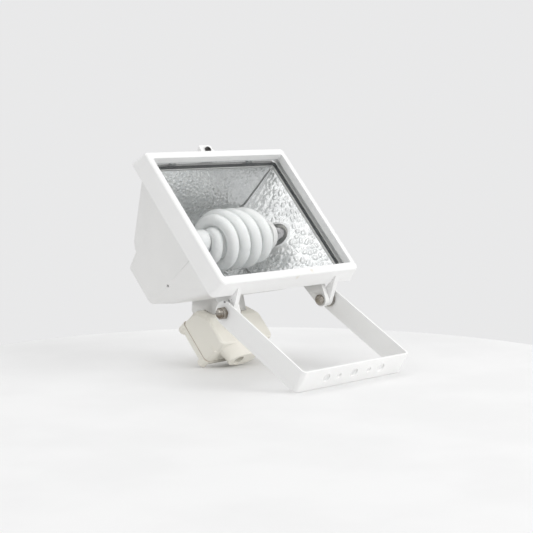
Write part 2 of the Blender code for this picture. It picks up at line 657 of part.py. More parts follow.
# Front frame: a ring with a seat for the glass, hinge arms below and a latch lug on top
def build_frame():
    def ring(half_x, half_z, depth, radius=FRAME_CORNER):
        return at_depth(rectangle(half_x, half_z, radius), depth)
    inner_round = 0.0015
    front = skirt(0.0, FRAME_EDGE)
    edge = skirt(FRAME_EDGE)
    back = skirt(FRAME_DEPTH)
    pocket_back = skirt(FRAME_DEPTH, FRAME_WALL)
    pocket_front = skirt(FRAME_LIP_DEPTH, FRAME_WALL)
    rings = [ring(*front, 0.0, FRAME_CORNER - FRAME_EDGE), ring(*edge, FRAME_EDGE), ring(*back, FRAME_DEPTH),
             ring(*pocket_back, FRAME_DEPTH, inner_round), ring(*pocket_front, FRAME_LIP_DEPTH, inner_round),
             ring(OPEN_X, OPEN_Z, FRAME_LIP_DEPTH, inner_round),
             ring(OPEN_X, OPEN_Z, 0.0, inner_round)]
    made = add("front_frame", rings_body(rings, closed=True), WHITE_PAINT, DOOR, FACE)
    joins = []
    for side, sign in SIDES:
        near, far = sign * DOOR_ARM_X, sign * (DOOR_ARM_X + LUG_THICK)
        eye = [(HINGE_DEPTH + y, -HINGE_DROP + z) for y, z in circle(LUG_RADIUS, 20)]
        start = 0.0040
        stop = FRAME_DEPTH - 0.0006
        root = [(start, -skirt(start, FRAME_WALL * 0.5)[1]), (stop, -skirt(stop, FRAME_WALL * 0.5)[1])]
        outline = hull(eye + root)
        joins.append(tool("door_arm_" + side, prism(outline, "x", min(near, far), max(near, far)), made))
    for x in (-CLIP_X, CLIP_X):
        for z in (-CLIP_Z, CLIP_Z):
            boss = rod(BOSS_RADIUS, "y", FRAME_LIP_DEPTH - 0.001, GASKET_Y - FIT, (x, z), 12)
            joins.append(tool("clip_boss", boss, made))
    height = CLOSING_HEIGHT + LATCH_RISE
    low = skirt(LATCH_FRONT)[1] - FRAME_WALL * 0.5
    lug = rounded(((-LATCH_HALF_X, low), (LATCH_HALF_X + LATCH_FOOT, low), (LATCH_HALF_X, CLOSING_HEIGHT),
                   (LATCH_HALF_X, height), (-LATCH_HALF_X, height)), 0.003, 4)
    joins.append(tool("latch_lug", prism(lug, "y", LATCH_FRONT, LATCH_FRONT + LATCH_THICK), made))
    boolean(made, joins, "UNION")
    cuts = [tool("eye_bore", rod(BOLT_RADIUS + FIT, "x", -0.08, 0.08, (HINGE_DEPTH, -HINGE_DROP)), made)]
    cuts.append(tool("closing_hole", rod(CLOSING_RADIUS + FIT, "y", 0.0, 0.02, (0.0, CLOSING_HEIGHT), 16),
                     made))
    for x in (-CLIP_X, CLIP_X):
        for z in (-CLIP_Z, CLIP_Z):
            start = GASKET_Y - CLIP_SCREW_LENGTH
            bore = rod(CLIP_BORE_RADIUS, "y", start, GASKET_Y + 0.01, (x, z), 10)
            cuts.append(tool("clip_bore", bore, made))
    boolean(made, cuts, "DIFFERENCE")
    return made


def flat_ring(name, outer, inner, low, high, paint, parent, radius=0.0015):
    def ring(half, depth):
        return at_depth(rectangle(half[0], half[1], radius), depth)
    rings = [ring(outer, low), ring(outer, high), ring(inner, high), ring(inner, low)]
    return add(name, rings_body(rings, closed=True), paint, parent, FACE)


def build_glazing():
    seal_out = (OPEN_X + 0.0003 + SEAL_WIDTH, OPEN_Z + 0.0001 + SEAL_WIDTH)
    seal_in = (OPEN_X + 0.0003, OPEN_Z + 0.0001)
    flat_ring("glass_seal", seal_out, seal_in, SEAL_Y, SEAL_Y + SEAL_THICK, RUBBER, DOOR)
    pane = rings_body([at_depth(rectangle(GLASS_X, GLASS_Z, 0.0015), y) for y in (GLASS_Y, GLASS_BACK)])
    add("front_glass", pane, CLEAR_GLASS, DOOR, FACE)
    gasket_in = (GASKET_X - GASKET_WIDTH, GASKET_Z - GASKET_WIDTH)
    flat_ring("door_gasket", (GASKET_X, GASKET_Z), gasket_in, GASKET_Y, GASKET_Y + GASKET_THICK, RUBBER, HEAD)
    for x, column in ((-CLIP_X, "left"), (CLIP_X, "right")):
        for up, row in ((-1, "lower"), (1, "upper")):
            name = "_" + row + "_" + column
            reach = sorted((up * (GLASS_Z - CLIP_BITE), up * (CLIP_Z + 0.0014)))
            half = CLIP_WIDTH / 2
            clip = box((x - half, x + half), (GASKET_Y, GASKET_Y + CLIP_THICK), reach)
            made = add("glass_clip" + name, clip, STEEL, DOOR, FACE)
            hole = rod(CLIP_HOLE_RADIUS, "y", GASKET_Y - 0.002, GASKET_Y + 0.002, (x, up * CLIP_Z), 10)
            boolean(made, [tool("clip_hole", hole, made)], "DIFFERENCE")
            screw("clip_screw" + name, DOOR, (x, GASKET_Y + CLIP_THICK + FIT, up * CLIP_Z), (0, -1, 0),
                  CLIP_SCREW_LENGTH, STEEL, CLIP_SCREW_HEAD_RADIUS, CLIP_SCREW_RADIUS,
                  CLIP_SCREW_HEAD_LENGTH)
    screw("closing_screw", DOOR, (0.0, LATCH_FRONT - FIT, CLOSING_HEIGHT), (0, 1, 0), CLOSING_LENGTH,
          DARK_STEEL, CLOSING_HEAD_RADIUS, CLOSING_RADIUS, CLOSING_HEAD_LENGTH)


# Reflector: a curved trough between two sloping cheeks
def trough_outline(offset, count=9):
    """Half of the trough's section, front edge to the middle of its back."""
    points = [(REFLECTOR_FRONT, REFLECTOR_Z + offset)]
    for i in range(count):
        turn = math.pi / 2 * i / (count - 1)
        points.append((REFLECTOR_WAIST_Y + (REFLECTOR_BACK - REFLECTOR_WAIST_Y + offset) * math.sin(turn),
                       (REFLECTOR_WAIST_Z + offset) * math.cos(turn)))
    return points


def build_reflector():
    inside = trough_outline(0.0)
    outside = trough_outline(SHEET)
    upper = outside[:-1] + [(y, -z) for y, z in reversed(outside)]
    lower = [(y, -z) for y, z in inside[:-1]] + [(y, z) for y, z in reversed(inside)]
    outline = upper + lower
    rings = []
    for sign in (-1, 1):
        rings.append([(sign * cheek_x(y), y, z) for y, z in outline])
    trough = add("reflector_trough", rings_body(rings), HAMMERED, HEAD, FACE)
    holes = []
    for side, sign in SIDES:
        place = (sign * REFLECTOR_SCREW_X, 0.0)
        hole = rod(SCREW_RADIUS + FIT, "y", REFLECTOR_WAIST_Y, BACK_DEPTH, place, 12)
        holes.append(tool("trough_hole", hole, trough))
    boolean(trough, holes, "DIFFERENCE")
    for side, sign in SIDES:
        seat = (sign * REFLECTOR_SCREW_X, REFLECTOR_BACK - REFLECTOR_SCREW_IN, 0.0)
        screw("reflector_screw_" + side, HEAD, seat, (0, 1, 0), REFLECTOR_SCREW_LENGTH, STEEL,
              head_length=0.8 * SCREW_HEAD_LENGTH)
        gap = trough_outline(-FIT)
        face = [(y, z) for y, z in gap[:-1]] + [(y, -z) for y, z in reversed(gap)]
        rings = []
        for offset in (-SHEET - 0.0004, -0.0004):
            rings.append([(sign * (cheek_x(y) + offset), y, z) for y, z in face])
        cheek = add("reflector_end_" + side, rings_body(rings), HAMMERED, HEAD, FACE)
        low, high = sorted((sign * 0.040, sign * 0.095))
        hole = rod(CHEEK_HOLE, "x", low, high, (LAMP_DEPTH, LAMP_HEIGHT), 24)
        slot = box((low, high), (LAMP_DEPTH, LAMP_DEPTH + CHEEK_SLOT_LENGTH),
                   (LAMP_HEIGHT - CHEEK_SLOT, LAMP_HEIGHT + CHEEK_SLOT))
        boolean(cheek, [tool("cheek_hole", hole, cheek), tool("cheek_slot", slot, cheek)], "DIFFERENCE")


# Lampholders: a ceramic sleeve on a block, a sprung contact pin inside
def build_holders():
    for side, sign in SIDES:
        centre = (LAMP_DEPTH, LAMP_HEIGHT)
        back = casting_side(LAMP_DEPTH + HOLDER_HALF_Y) - HOUSING_WALL - FIT
        low, high = sorted((sign * HOLDER_BODY_X, sign * back))
        block = box((low, high), (LAMP_DEPTH - HOLDER_HALF_Y, LAMP_DEPTH + HOLDER_HALF_Y),
                    (LAMP_HEIGHT - HOLDER_HALF_Z, LAMP_HEIGHT + HOLDER_HALF_Z))
        made = add("lampholder_" + side, block, CERAMIC, HEAD, FACE)
        low, high = sorted((sign * SLEEVE_FRONT, sign * (HOLDER_BODY_X + 0.001)))
        boolean(made, [tool("sleeve", rod(SLEEVE_RADIUS, "x", low, high, centre), made)], "UNION")
        floor = back - HOLDER_BACK_WALL
        low, high = sorted((sign * (SLEEVE_FRONT - 0.01), sign * floor))
        boolean(made, [tool("sleeve_bore", rod(SLEEVE_BORE, "x", low, high, centre), made)], "DIFFERENCE")
        tip = CONTACT_X + FIT
        end = floor - PLUNGER_TRAVEL
        collar = tip + (end - tip) * PLUNGER_COLLAR_AT
        profile = ((tip, PLUNGER_RADIUS * 0.5), (tip + 0.0006, PLUNGER_RADIUS), (collar, PLUNGER_RADIUS),
                   (collar, SLEEVE_BORE - FIT), (collar + PLUNGER_COLLAR, SLEEVE_BORE - FIT),
                   (collar + PLUNGER_COLLAR, PLUNGER_RADIUS), (end, PLUNGER_RADIUS))
        profile = [(sign * x, radius) for x, radius in profile]
        add("contact_pin_" + side, turned(profile, "x", centre, 12), BRASS, HEAD, FACE)


# Lamp: one glass tube wound as two interleaved starts that meet in the tip on the left
def coil_start(turn):
    """Place on one start, turn counted from the first full coil on the right."""
    if turn < 0:
        part = (turn + LEAD_TURNS) / LEAD_TURNS
        radius = hermite(LEG_RADIUS, COIL_RADIUS, 0.0, 0.0, part)
        x = hermite(LEG_END - 2 * TUBE_RADIUS, COIL_RIGHT, -0.006, -COIL_PITCH * LEAD_TURNS, part)
        return x, radius, turn
    full = 1.5
    if turn <= full:
        return COIL_RIGHT - COIL_PITCH * turn, COIL_RADIUS, turn
    part = (turn - full) / TIP_TURNS
    radius = hermite(COIL_RADIUS, TIP_RADIUS, 0.0, 0.0, part)
    x = hermite(COIL_RIGHT - COIL_PITCH * full, TIP_X, -COIL_PITCH * TIP_TURNS, 0.0, part)
    return x, radius, turn


def coil_point(x, radius, turn, half_turn):
    """Face coordinates of a place; the near side of the coil faces down and forward."""
    angle = math.radians(213) - 2 * math.pi * (turn + half_turn)
    return Vector((x, LAMP_DEPTH + radius * math.cos(angle), LAMP_HEIGHT + radius * math.sin(angle)))


def half_coil(half_turn):
    points = []
    leg = 2 * TUBE_RADIUS
    for i in range(4):
        points.append(coil_point(LEG_END - leg * i / 4, LEG_RADIUS, -LEAD_TURNS, half_turn))
    lead = int(LOOP_POINTS * LEAD_TURNS)
    for i in range(lead):
        part = i / lead
        turn = hermite(-LEAD_TURNS, 0.0, 0.0, LEAD_TURNS * 1.3, part)
        place = coil_start(-LEAD_TURNS + LEAD_TURNS * part)
        points.append(coil_point(place[0], place[1], turn, half_turn))
    steps = int(LOOP_POINTS * (1.5 + TIP_TURNS))
    for i in range(steps):
        points.append(coil_point(*coil_start(i / LOOP_POINTS), half_turn))
    end = coil_point(*coil_start(1.5 + TIP_TURNS), half_turn)
    middle = Vector((TIP_X, LAMP_DEPTH, LAMP_HEIGHT))
    before = coil_point(*coil_start(1.5 + TIP_TURNS - 0.01), half_turn)
    ahead = (end - before)
    ahead.x = 0.0
    ahead.normalize()
    pivot = (end + middle) / 2
    spoke = end - pivot
    for i in range(10):
        turn = math.pi * i / 10
        points.append(pivot + spoke * math.cos(turn) + ahead * spoke.length * math.sin(turn))
    return points


def build_lamp():
    first = half_coil(0.0)
    second = half_coil(0.5)
    middle = Vector((TIP_X, LAMP_DEPTH, LAMP_HEIGHT))
    path = first + [middle] + list(reversed(second))
    curve = bpy.data.curves.new("lamp_tube", "CURVE")
    curve.dimensions = "3D"
    curve.bevel_depth = TUBE_RADIUS
    curve.bevel_resolution = 1
    curve.use_fill_caps = True
    spline = curve.splines.new("POLY")
    spline.points.add(len(path) - 1)
    for point, place in zip(spline.points, path):
        point.co = (*place, 1.0)
    tube = bpy.data.objects.new("lamp_tube", curve)
    bpy.context.scene.collection.objects.link(tube)
    tube.parent = HEAD
    tube.location = FACE
    curve.materials.append(LAMP_WHITE)
    places = np.array([tuple(place) for place in path])
    along = np.concatenate(([0.0], np.cumsum(np.linalg.norm(np.diff(places, axis=0), axis=1))))
    apart = np.linalg.norm(places[:, None] - places[None], axis=2)
    far = np.abs(along[:, None] - along[None]) > 3.2 * TUBE_RADIUS
    print("least gap of the lamp tube to itself, mm:",
          round(1000 * (apart[far].min() - 2 * TUBE_RADIUS), 2))
    centre = (LAMP_DEPTH, LAMP_HEIGHT)
    nose = CONTACT_X - NOSE_LENGTH
    shell = LEG_RADIUS + TUBE_RADIUS + BASE_LIP
    face = LEG_END + FIT
    base = ((face, shell * 0.985), (face + BASE_LENGTH * 0.07, shell), (face + BASE_LENGTH * 0.58, shell),
            (face + BASE_LENGTH * 0.95, CAP_RADIUS + BASE_LIP), (face + BASE_LENGTH, CAP_RADIUS))
    add("lamp_base", turned(base, "x", centre), LAMP_PLASTIC, HEAD, FACE)
    inner = face + BASE_LENGTH + FIT
    cap = ((inner, CAP_RADIUS), (nose, CAP_RADIUS), (nose, NOSE_RADIUS), (CONTACT_X, NOSE_RADIUS * 0.9))
    add("lamp_cap_right", turned(cap, "x", centre), CERAMIC, HEAD, FACE)
    start = TIP_X - TUBE_RADIUS - FIT
    dome = TIP_CUP_RADIUS
    half = TIP_CUP_LENGTH / 2
    profile = [(start, dome * 0.96), (start - half * 0.1, dome), (start - half, dome)]
    for turn in (30, 60):
        angle = math.radians(turn)
        profile.append((start - half - half * math.sin(angle),
                        CAP_RADIUS + (dome - CAP_RADIUS) * math.cos(angle)))
    profile.append((start - TIP_CUP_LENGTH, CAP_RADIUS))
    add("lamp_tip_cup", turned(profile, "x", centre), LAMP_PLASTIC, HEAD, FACE)
    inner = start - TIP_CUP_LENGTH - FIT
    cap = ((inner, CAP_RADIUS), (-nose, CAP_RADIUS), (-nose, NOSE_RADIUS), (-CONTACT_X, NOSE_RADIUS * 0.9))
    add("lamp_cap_left", turned(cap, "x", centre), CERAMIC, HEAD, FACE)


# Terminal box: tapered body, stepped lid with four screw ears, cable entry below
def build_box():
    def ring(depth, inset, high=None):
        part = max((BOX_SPLIT - depth) / (BOX_SPLIT - BOX_FRONT), 0.0)
        low = BOX_BOTTOM + 0.5 * BOX_TAPER * part + inset
        high = BOX_TOP - inset if high is None else high
        half_x = BOX_HALF_X - BOX_TAPER * part - inset
        shape = rectangle(half_x, (high - low) / 2, max(BOX_CORNER - inset, 0.001))
        return [(x, depth, (high + low) / 2 + z) for x, z in shape]
    wall = BOX_WALL
    edge = 0.0015
    slope_low = BOX_TOP - BOX_SLOPE_DROP
    slope_back = BOX_FRONT + BOX_SLOPE_DEPTH
    run = BOX_SLOPE_DEPTH / BOX_SLOPE_DROP
    rings = [ring(BOX_FRONT, edge, slope_low - edge), ring(BOX_FRONT + edge, 0.0, slope_low + edge / run),
             ring(slope_back, 0.0), ring(BOX_SPLIT, 0.0), ring(BOX_SPLIT, wall),
             ring(slope_back + wall * (1 - run), wall), ring(BOX_FRONT + wall, wall, slope_low)]
    bm = rings_body(rings)
    made = add("terminal_box", bm, CREAM_PLASTIC, HEAD, FACE)
    joins = []
    low_y = BOX_SPLIT - 0.014
    for side, sign in SIDES:
        for up, z in (("lower", EAR_BOTTOM), ("upper", EAR_TOP)):
            inward = 0.0012 if up == "upper" else 0.0003
            post = rod(EAR_RADIUS - inward, "y", low_y, BOX_SPLIT, (sign * EAR_X, z), 16)
            joins.append(tool("post_" + up + "_" + side, post, made))
    entry = []
    fall = BOX_BOTTOM + wall * 0.8 - ENTRY_BOTTOM
    for part in (0.0, 0.5, 1.0):
        spread = 1 + (ENTRY_FLARE - 1) * part * part
        deep = 1 + (ENTRY_FLARE - 1) * 0.5 * part * part
        entry.append([(ENTRY_X + x * spread, ENTRY_DEPTH - 0.0035 * part * part + y * deep,
                       ENTRY_BOTTOM + fall * part)
                      for x, y in [(ENTRY_HALF_X * math.cos(t), ENTRY_HALF_Y * math.sin(t))
                                   for t in np.linspace(0.0, 2 * math.pi, 28, endpoint=False)]])
    joins.append(tool("entry_boss", rings_body(entry), made))
    boolean(made, joins, "UNION")
    cuts = []
    entry_hole = rod(ENTRY_RADIUS, "z", ENTRY_BOTTOM - 0.01, BOX_BOTTOM + 0.006,
                     (ENTRY_HOLE_X, ENTRY_DEPTH), 24)
    cuts.append(tool("entry_hole", entry_hole, made))
    for side, sign in SIDES:
        for z in (EAR_BOTTOM, EAR_TOP):
            bore = rod(SCREW_RADIUS + FIT, "y", low_y + 0.003, BOX_SPLIT + 0.01, (sign * EAR_X, z), 12)
            cuts.append(tool("post_bore", bore, made))
        hole = rod(SCREW_RADIUS + FIT, "z", BOX_TOP - 0.010, BOX_TOP + 0.010,
                   (sign * BOX_SCREW_X, BOX_SCREW_DEPTH), 12)
        cuts.append(tool("box_screw_hole", hole, made))
    wire = rod(WIRE_HOLE_RADIUS, "z", BOX_TOP - WIRE_HOLE_LENGTH, BOX_TOP + 0.010, (0.0, WIRE_HOLE_DEPTH), 16)
    cuts.append(tool("wire_hole", wire, made))
    boolean(made, cuts, "DIFFERENCE")

    start = BOX_SPLIT + FIT
    lid_rings = [ring(start, 0.0), ring(start + LID_STEP, 0.0), ring(start + LID_STEP, LID_INSET),
                 ring(LID_BACK - 0.001, LID_INSET), ring(LID_BACK, 2 * LID_INSET)]
    lid = add("terminal_box_lid", rings_body(lid_rings), CREAM_PLASTIC, HEAD, FACE)
    ears = []
    holes = []
    for side, sign in SIDES:
        for z in (EAR_BOTTOM, EAR_TOP):
            ear = rod(EAR_RADIUS, "y", start, EAR_BACK, (sign * EAR_X, z), 20)
            ears.append(tool("ear", ear, lid))
            hole = rod(SCREW_RADIUS + FIT, "y", start - 0.01, EAR_BACK + 0.01, (sign * EAR_X, z), 12)
            holes.append(tool("ear_hole", hole, lid))
            sink = rod(SCREW_HEAD_RADIUS + FIT, "y", EAR_BACK - EAR_SINK, EAR_BACK + 0.01,
                       (sign * EAR_X, z), 16)
            holes.append(tool("ear_sink", sink, lid))
    boolean(lid, ears, "UNION")
    boolean(lid, holes, "DIFFERENCE")
    for side, sign in SIDES:
        for row, z in (("lower", EAR_BOTTOM), ("upper", EAR_TOP)):
            seat = (sign * EAR_X, EAR_BACK - EAR_SINK + FIT, z)
            screw("lid_screw_" + row + "_" + side, HEAD, seat, (0, -1, 0), LID_SCREW_LENGTH, STEEL)
        seat = (sign * BOX_SCREW_X, BOX_SCREW_DEPTH, BOX_TOP - wall - FIT)
        screw("box_screw_" + side, HEAD, seat, (0, 0, 1), BOX_SCREW_LENGTH, STEEL)


def build_terminal_block():
    """Three-way screw connector on the front wall of the box."""
    front = BOX_FRONT + BOX_WALL + FIT
    low = BOX_BOTTOM + BLOCK_RISE
    bm = box((-BLOCK_HALF_X, BLOCK_HALF_X), (front, front + BLOCK_DEPTH), (low, low + BLOCK_HEIGHT))
    made = add("terminal_block", bm, LAMP_PLASTIC, HEAD, FACE)
    cuts = []
    for i in (-1, 0, 1):
        x = i * BLOCK_PITCH
        deep = front + BLOCK_DEPTH * 0.45
        clamp = rod(CLAMP_RADIUS, "z", low - 0.01, low + BLOCK_HEIGHT + 0.01, (x, deep), 12)
        cuts.append(tool("clamp_bore", clamp, made))
        driver = rod(DRIVER_RADIUS, "y", deep, front + BLOCK_DEPTH + 0.01, (x, low + BLOCK_HEIGHT / 2), 12)
        cuts.append(tool("driver_hole", driver, made))
    boolean(made, cuts, "DIFFERENCE")


def build_leads():
    """One insulated lead on each side, lampholder to terminal block, behind the reflector."""
    start = LAMP_DEPTH + HOLDER_HALF_Y + FIT
    back = WIRE_HOLE_DEPTH - start
    end = BOX_BOTTOM + BLOCK_RISE + BLOCK_HEIGHT + FIT
    drop = -LEAD_LEVEL - end
    inward = ((1.028, 0.0, 0.10), (1.025, 0.10, 0.15), (0.98, 0.31, 0.31), (0.84, 0.64, 0.62),
              (0.587, 0.94, 0.85), (0.25, 1.025, 0.90), (0.087, 1.01, 1.0))
    down = ((0.5 * WIRE_HOLE_RADIUS, 0.0, 0.2), (0.45 * WIRE_HOLE_RADIUS, 0.0010, 0.55),
            (0.55 * WIRE_HOLE_RADIUS, 0.0010, 0.8), (0.85 * BLOCK_PITCH, 0.0010, 0.94),
            (BLOCK_PITCH, 0.0006, 1.0))
    for side, sign in SIDES:
        route = [(HOLDER_BODY_X * x, start + back * y, -LEAD_LEVEL * z) for x, y, z in inward]
        route += [(x, WIRE_HOLE_DEPTH + y, -LEAD_LEVEL - drop * z) for x, y, z in down]
        route = [Vector((sign * x, y, z)) for x, y, z in route]
        points = []
        ends = [2 * route[0] - route[1]] + route + [2 * route[-1] - route[-2]]
        for i in range(1, len(ends) - 2):
            a, b, c, d = ends[i - 1:i + 3]
            for step in range(4):
                t = step / 4
                points.append(0.5 * (2 * b + (c - a) * t + (2 * a - 5 * b + 4 * c - d) * t * t
                                     + (3 * b - a - 3 * c + d) * t * t * t))
        points.append(route[-1])
        curve = bpy.data.curves.new("lead_" + side, "CURVE")
        curve.dimensions = "3D"
        curve.bevel_depth = LEAD_RADIUS
        curve.bevel_resolution = 1
        curve.use_fill_caps = True
        spline = curve.splines.new("POLY")
        spline.points.add(len(points) - 1)
        for point, place in zip(spline.points, points):
            point.co = (*place, 1.0)
        made = bpy.data.objects.new("lead_" + side, curve)
        bpy.context.scene.collection.objects.link(made)
        made.parent = HEAD
        made.location = FACE
        curve.materials.append(WIRE_SLEEVE)


build_bracket()
for side_name, side_sign in SIDES:
    build_hinge(side_name, side_sign)
build_housing()
build_frame()
build_glazing()
build_reflector()
build_holders()
build_lamp()
build_box()
build_terminal_block()
build_leads()


# Stand the light on its bracket's edge and the terminal box, middle of its box at the origin
def lowest(owner):
    bpy.context.view_layer.update()
    graph = bpy.context.evaluated_depsgraph_get()
    low = 0.0
    for made in bpy.data.objects:
        if made.parent is owner and made.type != "EMPTY" and not made.hide_render:
            seen = made.evaluated_get(graph)
            mesh = seen.to_mesh()
            low = min([low] + [(seen.matrix_world @ v.co).z for v in mesh.vertices])
            seen.to_mesh_clear()
    return low


hinge_height = -lowest(HEAD)
half_strip = BRACKET_STRIP / 2
reach_far = math.hypot(BRACKET_REACH, half_strip)
BRACKET_DROP = math.asin(hinge_height / reach_far) - math.atan(half_strip / BRACKET_REACH)
BRACKET.rotation_euler = (-(math.pi / 2 - BRACKET_DROP), 0, 0)


def outside_box():
    bpy.context.view_layer.update()
    graph = bpy.context.evaluated_depsgraph_get()
    places = []
    for made in bpy.data.objects:
        if made.type != "EMPTY" and not made.hide_render:
            seen = made.evaluated_get(graph)
            mesh = seen.to_mesh()
            places += [tuple(seen.matrix_world @ v.co) for v in mesh.vertices]
            seen.to_mesh_clear()
    places = np.array(places)
    return places.min(axis=0), places.max(axis=0)


least, most = outside_box()
STAND.location = (-(least[0] + most[0]) / 2, -(least[1] + most[1]) / 2, -least[2])
bpy.context.view_layer.update()
print("hinge height, mm:", round(hinge_height * 1000, 2), "bracket drop, degrees:",
      round(math.degrees(BRACKET_DROP), 2))
print("hinge axis in the part's frame:", tuple(round(v, 5) for v in HEAD.matrix_world.translation))
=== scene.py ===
# %% [markdown]
# # Wall floodlight: the finish of every surface
#
# The construction of this light is a fixed frame of solids in real metres. This script dresses
# it: it gives each visible piece its rounded edges and its finish, sets a plain studio round it
# and puts the camera where the photograph was taken from.

# %% Load the frame
import bpy
import bmesh
import json
import math
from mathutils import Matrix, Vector
from mathutils.bvhtree import BVHTree


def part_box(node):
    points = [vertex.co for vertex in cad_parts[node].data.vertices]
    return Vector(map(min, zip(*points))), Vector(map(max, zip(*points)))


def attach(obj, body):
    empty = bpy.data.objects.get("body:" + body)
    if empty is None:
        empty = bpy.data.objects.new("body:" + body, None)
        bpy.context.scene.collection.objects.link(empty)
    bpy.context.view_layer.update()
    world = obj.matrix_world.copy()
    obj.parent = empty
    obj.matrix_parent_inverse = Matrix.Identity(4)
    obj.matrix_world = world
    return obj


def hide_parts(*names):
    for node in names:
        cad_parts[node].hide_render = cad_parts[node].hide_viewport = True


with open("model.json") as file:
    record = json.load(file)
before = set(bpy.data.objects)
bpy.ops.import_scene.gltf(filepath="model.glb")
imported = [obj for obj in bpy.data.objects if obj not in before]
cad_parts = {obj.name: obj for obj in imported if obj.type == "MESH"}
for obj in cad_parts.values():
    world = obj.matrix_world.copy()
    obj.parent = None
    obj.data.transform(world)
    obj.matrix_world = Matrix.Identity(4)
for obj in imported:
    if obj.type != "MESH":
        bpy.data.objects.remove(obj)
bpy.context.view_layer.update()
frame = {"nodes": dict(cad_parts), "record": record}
scene = bpy.context.scene

# %% [markdown]
# ## Three helpers used throughout
#
# An object joins the scene, a bmesh becomes a mesh, and a node joins any kind of tree: its
# settings first, because they decide which sockets it has, then its values and links.

# %% Small helpers
def placed(name, data):
    """A new object in the scene."""
    made = bpy.data.objects.new(name, data)
    scene.collection.objects.link(made)
    return made


def mesh_from(bm, name):
    """Turns a bmesh into a mesh and frees it."""
    mesh = bpy.data.meshes.new(name)
    bm.to_mesh(mesh)
    bm.free()
    return mesh


def add_node(tree, kind, settings=None, sockets=None):
    made = tree.nodes.new(kind)
    for key, value in (settings or {}).items():
        setattr(made, key, value)
    for key, value in (sockets or {}).items():
        if isinstance(value, bpy.types.NodeSocket):
            tree.links.new(value, made.inputs[key])
        else:
            made.inputs[key].default_value = value
    return made


print("helpers ready: placed, mesh_from and add_node")

# %% [markdown]
# ## The camera
#
# A product photograph is easiest to compare with when the camera is the same. The straight edges
# of the frame and the bracket fixed its place, its direction and its focal length.

# %% Camera
CAMERA_PLACE = Vector((-1.0029, -0.92786, 0.23333))
CAMERA_TURN = math.radians(-47.15)
CAMERA_DROP = math.radians(5.82)
FOCAL_LENGTH = 103.05
SENSOR_WIDTH = 36.0

lens = bpy.data.cameras.new("camera")
lens.lens = FOCAL_LENGTH
lens.sensor_width = SENSOR_WIDTH
lens.clip_end = 20.0
camera = placed("camera", lens)
camera.location = CAMERA_PLACE
camera.rotation_euler = (math.pi / 2 - CAMERA_DROP, 0.0, CAMERA_TURN)
scene.camera = camera
print("camera stands at", tuple(round(v, 3) for v in CAMERA_PLACE))

# %% [markdown]
# ## Shader maths as plain expressions
#
# A procedural material is a formula: noise times a colour plus a stain. Wiring that by hand hides
# the formula, so one small class wraps a socket and lets Python's operators add the Math nodes.
# Everything that isn't arithmetic comes from a single method of the material.

# %% Wires and finishes
class Wire:
    """One output socket of a material, usable in arithmetic."""

    def __init__(self, finish, socket):
        self.finish = finish
        self.socket = socket

    def maths(self, operation, *values, clamp=False):
        settings = {"operation": operation, "use_clamp": clamp}
        return self.finish.node("ShaderNodeMath", settings, dict(enumerate(values)))

    def __add__(self, other):
        return self.maths("ADD", self, other)

    def __radd__(self, other):
        return self.maths("ADD", other, self)

    def __sub__(self, other):
        return self.maths("SUBTRACT", self, other)

    def __rsub__(self, other):
        return self.maths("SUBTRACT", other, self)

    def __mul__(self, other):
        return self.maths("MULTIPLY", self, other)

    def __rmul__(self, other):
        return self.maths("MULTIPLY", other, self)

    def __pow__(self, other):
        return self.maths("POWER", self, other)

    def clamped(self):
        return self.maths("ADD", self, 0.0, clamp=True)

    def step(self, low, high):
        """Zero below low, one above high, and a soft rise between them."""
        settings = {"interpolation_type": "SMOOTHSTEP"}
        return self.finish.node("ShaderNodeMapRange", settings,
                                {0: self, 1: low, 2: high, 3: 0.0, 4: 1.0})


class Finish:
    """A material being built round one Principled shader."""

    def __init__(self, name, **constants):
        self.material = bpy.data.materials.new(name)
        self.material.use_nodes = True
        self.tree = self.material.node_tree
        self.shader = self.tree.nodes["Principled BSDF"]
        self.place = self.node("ShaderNodeTexCoord", output="Object")
        for socket, value in constants.items():
            self.shader.inputs[socket.replace("_", " ")].default_value = value

    def node(self, kind, settings=None, sockets=None, output=0):
        plain = {key: value.socket if isinstance(value, Wire) else value
                 for key, value in (sockets or {}).items()}
        return Wire(self, add_node(self.tree, kind, settings, plain).outputs[output])

    def noise(self, per_metre, detail=2.0, rough=0.5, warp=0.0, stretch=None):
        place = self.place
        if stretch:
            place = self.node("ShaderNodeMapping", None, {"Vector": place, "Scale": stretch})
        return self.node("ShaderNodeTexNoise", None,
                         {"Vector": place, "Scale": per_metre, "Detail": detail,
                          "Roughness": rough, "Distortion": warp})

    def blend(self, share, first, second):
        return self.node("ShaderNodeMix", {"data_type": "RGBA"}, {0: share, 6: first, 7: second}, 2)

    def distance(self, point):
        return self.node("ShaderNodeVectorMath", {"operation": "DISTANCE"},
                         {0: self.place, 1: point}, "Value")

    def relief(self, height):
        """Bump from a height in metres."""
        return self.node("ShaderNodeBump", None,
                         {"Height": height, "Distance": 1.0, "Strength": 1.0})

    def drive(self, **sockets):
        for socket, wire in sockets.items():
            self.tree.links.new(wire.socket, self.shader.inputs[socket.replace("_", " ")])
        return self.material


def shade(value, tint=(1.0, 1.0, 1.0)):
    return (value * tint[0], value * tint[1], value * tint[2], 1.0)


print("helpers ready: Wire and Finish")

# %% [markdown]
# ## The studio
#
# The light stands on a white table with a round far edge, in front of a pale grey backdrop. A
# large soft lamp in front and to the right lights the glazed side, a weak one fills the near
# flank and a third shines from above, so the flank is a little darker, as in the photograph. The
# world is a soft gradient for what polished metal reflects, and one plain grey where the camera
# sees it.

